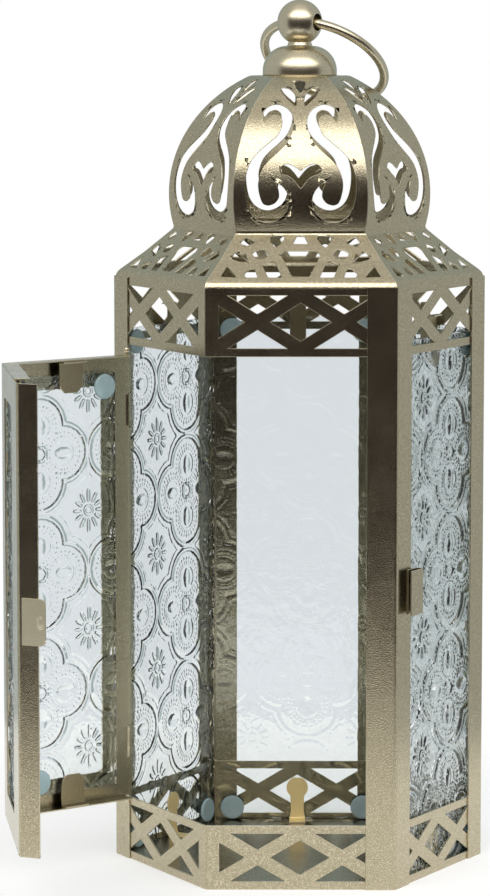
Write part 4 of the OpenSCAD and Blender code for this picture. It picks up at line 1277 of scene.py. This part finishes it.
def cap_shape():
    """Spun cup: rim, straight foot, round shoulder, flat top with a hole, and the same inside it."""
    middle = (CAP_R - CAP_ROUND, CAP_H - CAP_ROUND)
    outside, within = arc(middle, CAP_ROUND, 0, 90, 40), arc(middle, CAP_ROUND - CAP_T, 90, 0, 40)
    hole = [[SCREW_HOLE, CAP_H], [SCREW_HOLE, CAP_H - CAP_T]]
    drawn = np.concatenate([[[CAP_R, 0]], outside, hole, within, [[CAP_R - CAP_T, 0]]])
    loop = softened(drawn, 0.4 * MM)
    return turned(loop + [0, CROWN_Z], 128)


make_piece("spun_cap", flipped(cap_shape()), "lantern", [GOLD_TURNED], ["cap"])


def ball_shape():
    """Sphere with a hole along its own axis: outer arc and inner bore, closed and softened at the lip."""
    lip = math.degrees(math.asin(BALL_BORE / BALL_R))
    outer = arc((0, 0), BALL_R, lip - 90, 90 - lip, 80)
    bore = np.array([[BALL_BORE, outer[-1, 1]], [BALL_BORE, outer[0, 1]]])
    loop = softened(np.concatenate([outer, bore]), 0.9 * MM)
    points, faces = turned(loop)
    lying = points[:, [2, 1, 0]] * [1, 1, -1]
    return turn(lying, RING_TURN) + [0, 0, BALL_Z], faces


def collar_shape():
    """Neck between cap and ball: a small foot, a waist and a flare that runs into the sphere."""
    foot = CROWN_Z + CAP_H
    waist = np.array([[0, 0], [0.05, 0.4], [0.4, 1.3], [0.45, COLLAR_H / MM]]) * MM
    side = smooth_curve(waist * MIRROR + [COLLAR_R, 0], 6)
    loop = np.concatenate([side, [[SCREW_HOLE, COLLAR_H], [SCREW_HOLE, 0]]])
    return turned(loop + [0, foot])


finial = joined([ball_shape(), flipped(collar_shape())])
make_piece("pierced_ball", finial, "lantern", [GOLD_TURNED], ["finial_ball"], sharp=50)
print("cap", round(2 * CAP_R / MM, 1), "mm across, ball", round(2 * BALL_R / MM, 1), "mm")

# %% [markdown]
# ## The hanging ring
# The ring is a round wire closed into a circle through the ball: a small circle carried round a large
# one. It has fallen to one side, and it leans until it lies on the dome.

# %% Ring
WIRE_R, RING_R = 1.75 * MM, 24 * MM
RING_DROP = RING_R - 0.3 * (RING_R - math.sqrt(RING_R**2 - BALL_R**2))
RING_LEAN = math.radians(51.5)


def ring_shape():
    """Torus: circle of the wire round circle of the ring, hung below the ball and leaned back."""
    t, a = round_angles(160)[:, None], round_angles(28)[None, :]
    reach = RING_R + WIRE_R * np.cos(a)
    x, y, z = reach * np.cos(t), -WIRE_R * np.sin(a) + 0 * t, reach * np.sin(t) - RING_DROP
    c, s = math.cos(RING_LEAN), math.sin(RING_LEAN)
    points = np.stack([x, y * c - z * s, y * s + z * c], -1).reshape(-1, 3)
    return turn(points, RING_TURN) + [0, 0, BALL_Z], grid_faces(160, 28, True, True)


ring = make_piece("wire_ring", ring_shape(), "ring", [GOLD_TURNED], ["hanging_ring"])
print("ring:", len(ring.data.polygons), "faces")

# %% [markdown]
# ## Screw thread
# The screw under the crown is seen from below. Its radius goes up and down with height minus turn, which
# is what a thread is: radius = mean + depth x wave(z / pitch - angle).

# %% Screw
SCREW_R, PITCH_M4, THREAD_DEEP, CHAMFER = 2 * MM, 0.7 * MM, 0.34 * MM, 0.3 * MM


def screw_shape():
    """Threaded rod on a grid of height and angle, with flat ends closed to the axis."""
    low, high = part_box("finial_screw")[0].z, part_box("finial_screw")[1].z
    z = np.linspace(low, high, round((high - low) / (0.1 * MM)))[:, None]
    a = round_angles(32)[None, :]
    wave = 0.5 + 0.5 * np.cos(2 * math.pi * z / PITCH_M4 - a)
    fade = np.clip(np.minimum(z - low, high - z) / (0.4 * MM), 0, 1)
    r = SCREW_R - 0.02 * MM - THREAD_DEEP * wave * fade - CHAMFER * (1 - fade)
    body = np.stack([r * np.cos(a), r * np.sin(a), z + 0 * a], -1)
    ends = np.zeros((1, 32, 3))
    points = np.concatenate([ends + [0, 0, low], body, ends + [0, 0, high]])
    return points.reshape(-1, 3), grid_faces(len(points), 32, False, True)


screw = screw_shape()
make_piece("threaded_screw", screw, "lantern", [ZINC], ["finial_screw"], weld=True, sharp=60)
print("screw:", len(screw[1]), "faces")

# %% [markdown]
# ## Pieces that stay as they were designed
# The floor plate, the washer and the nut have the right shape already, so they only take a finish.

# %% Finishes on the kept nodes
for node, material in (("floor_plate", FLOOR_SHEET), ("finial_washer", ZINC), ("finial_nut", ZINC)):
    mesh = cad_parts[node].data
    mesh.materials.clear()
    mesh.materials.append(material)
print(len(PIECES), "new pieces")
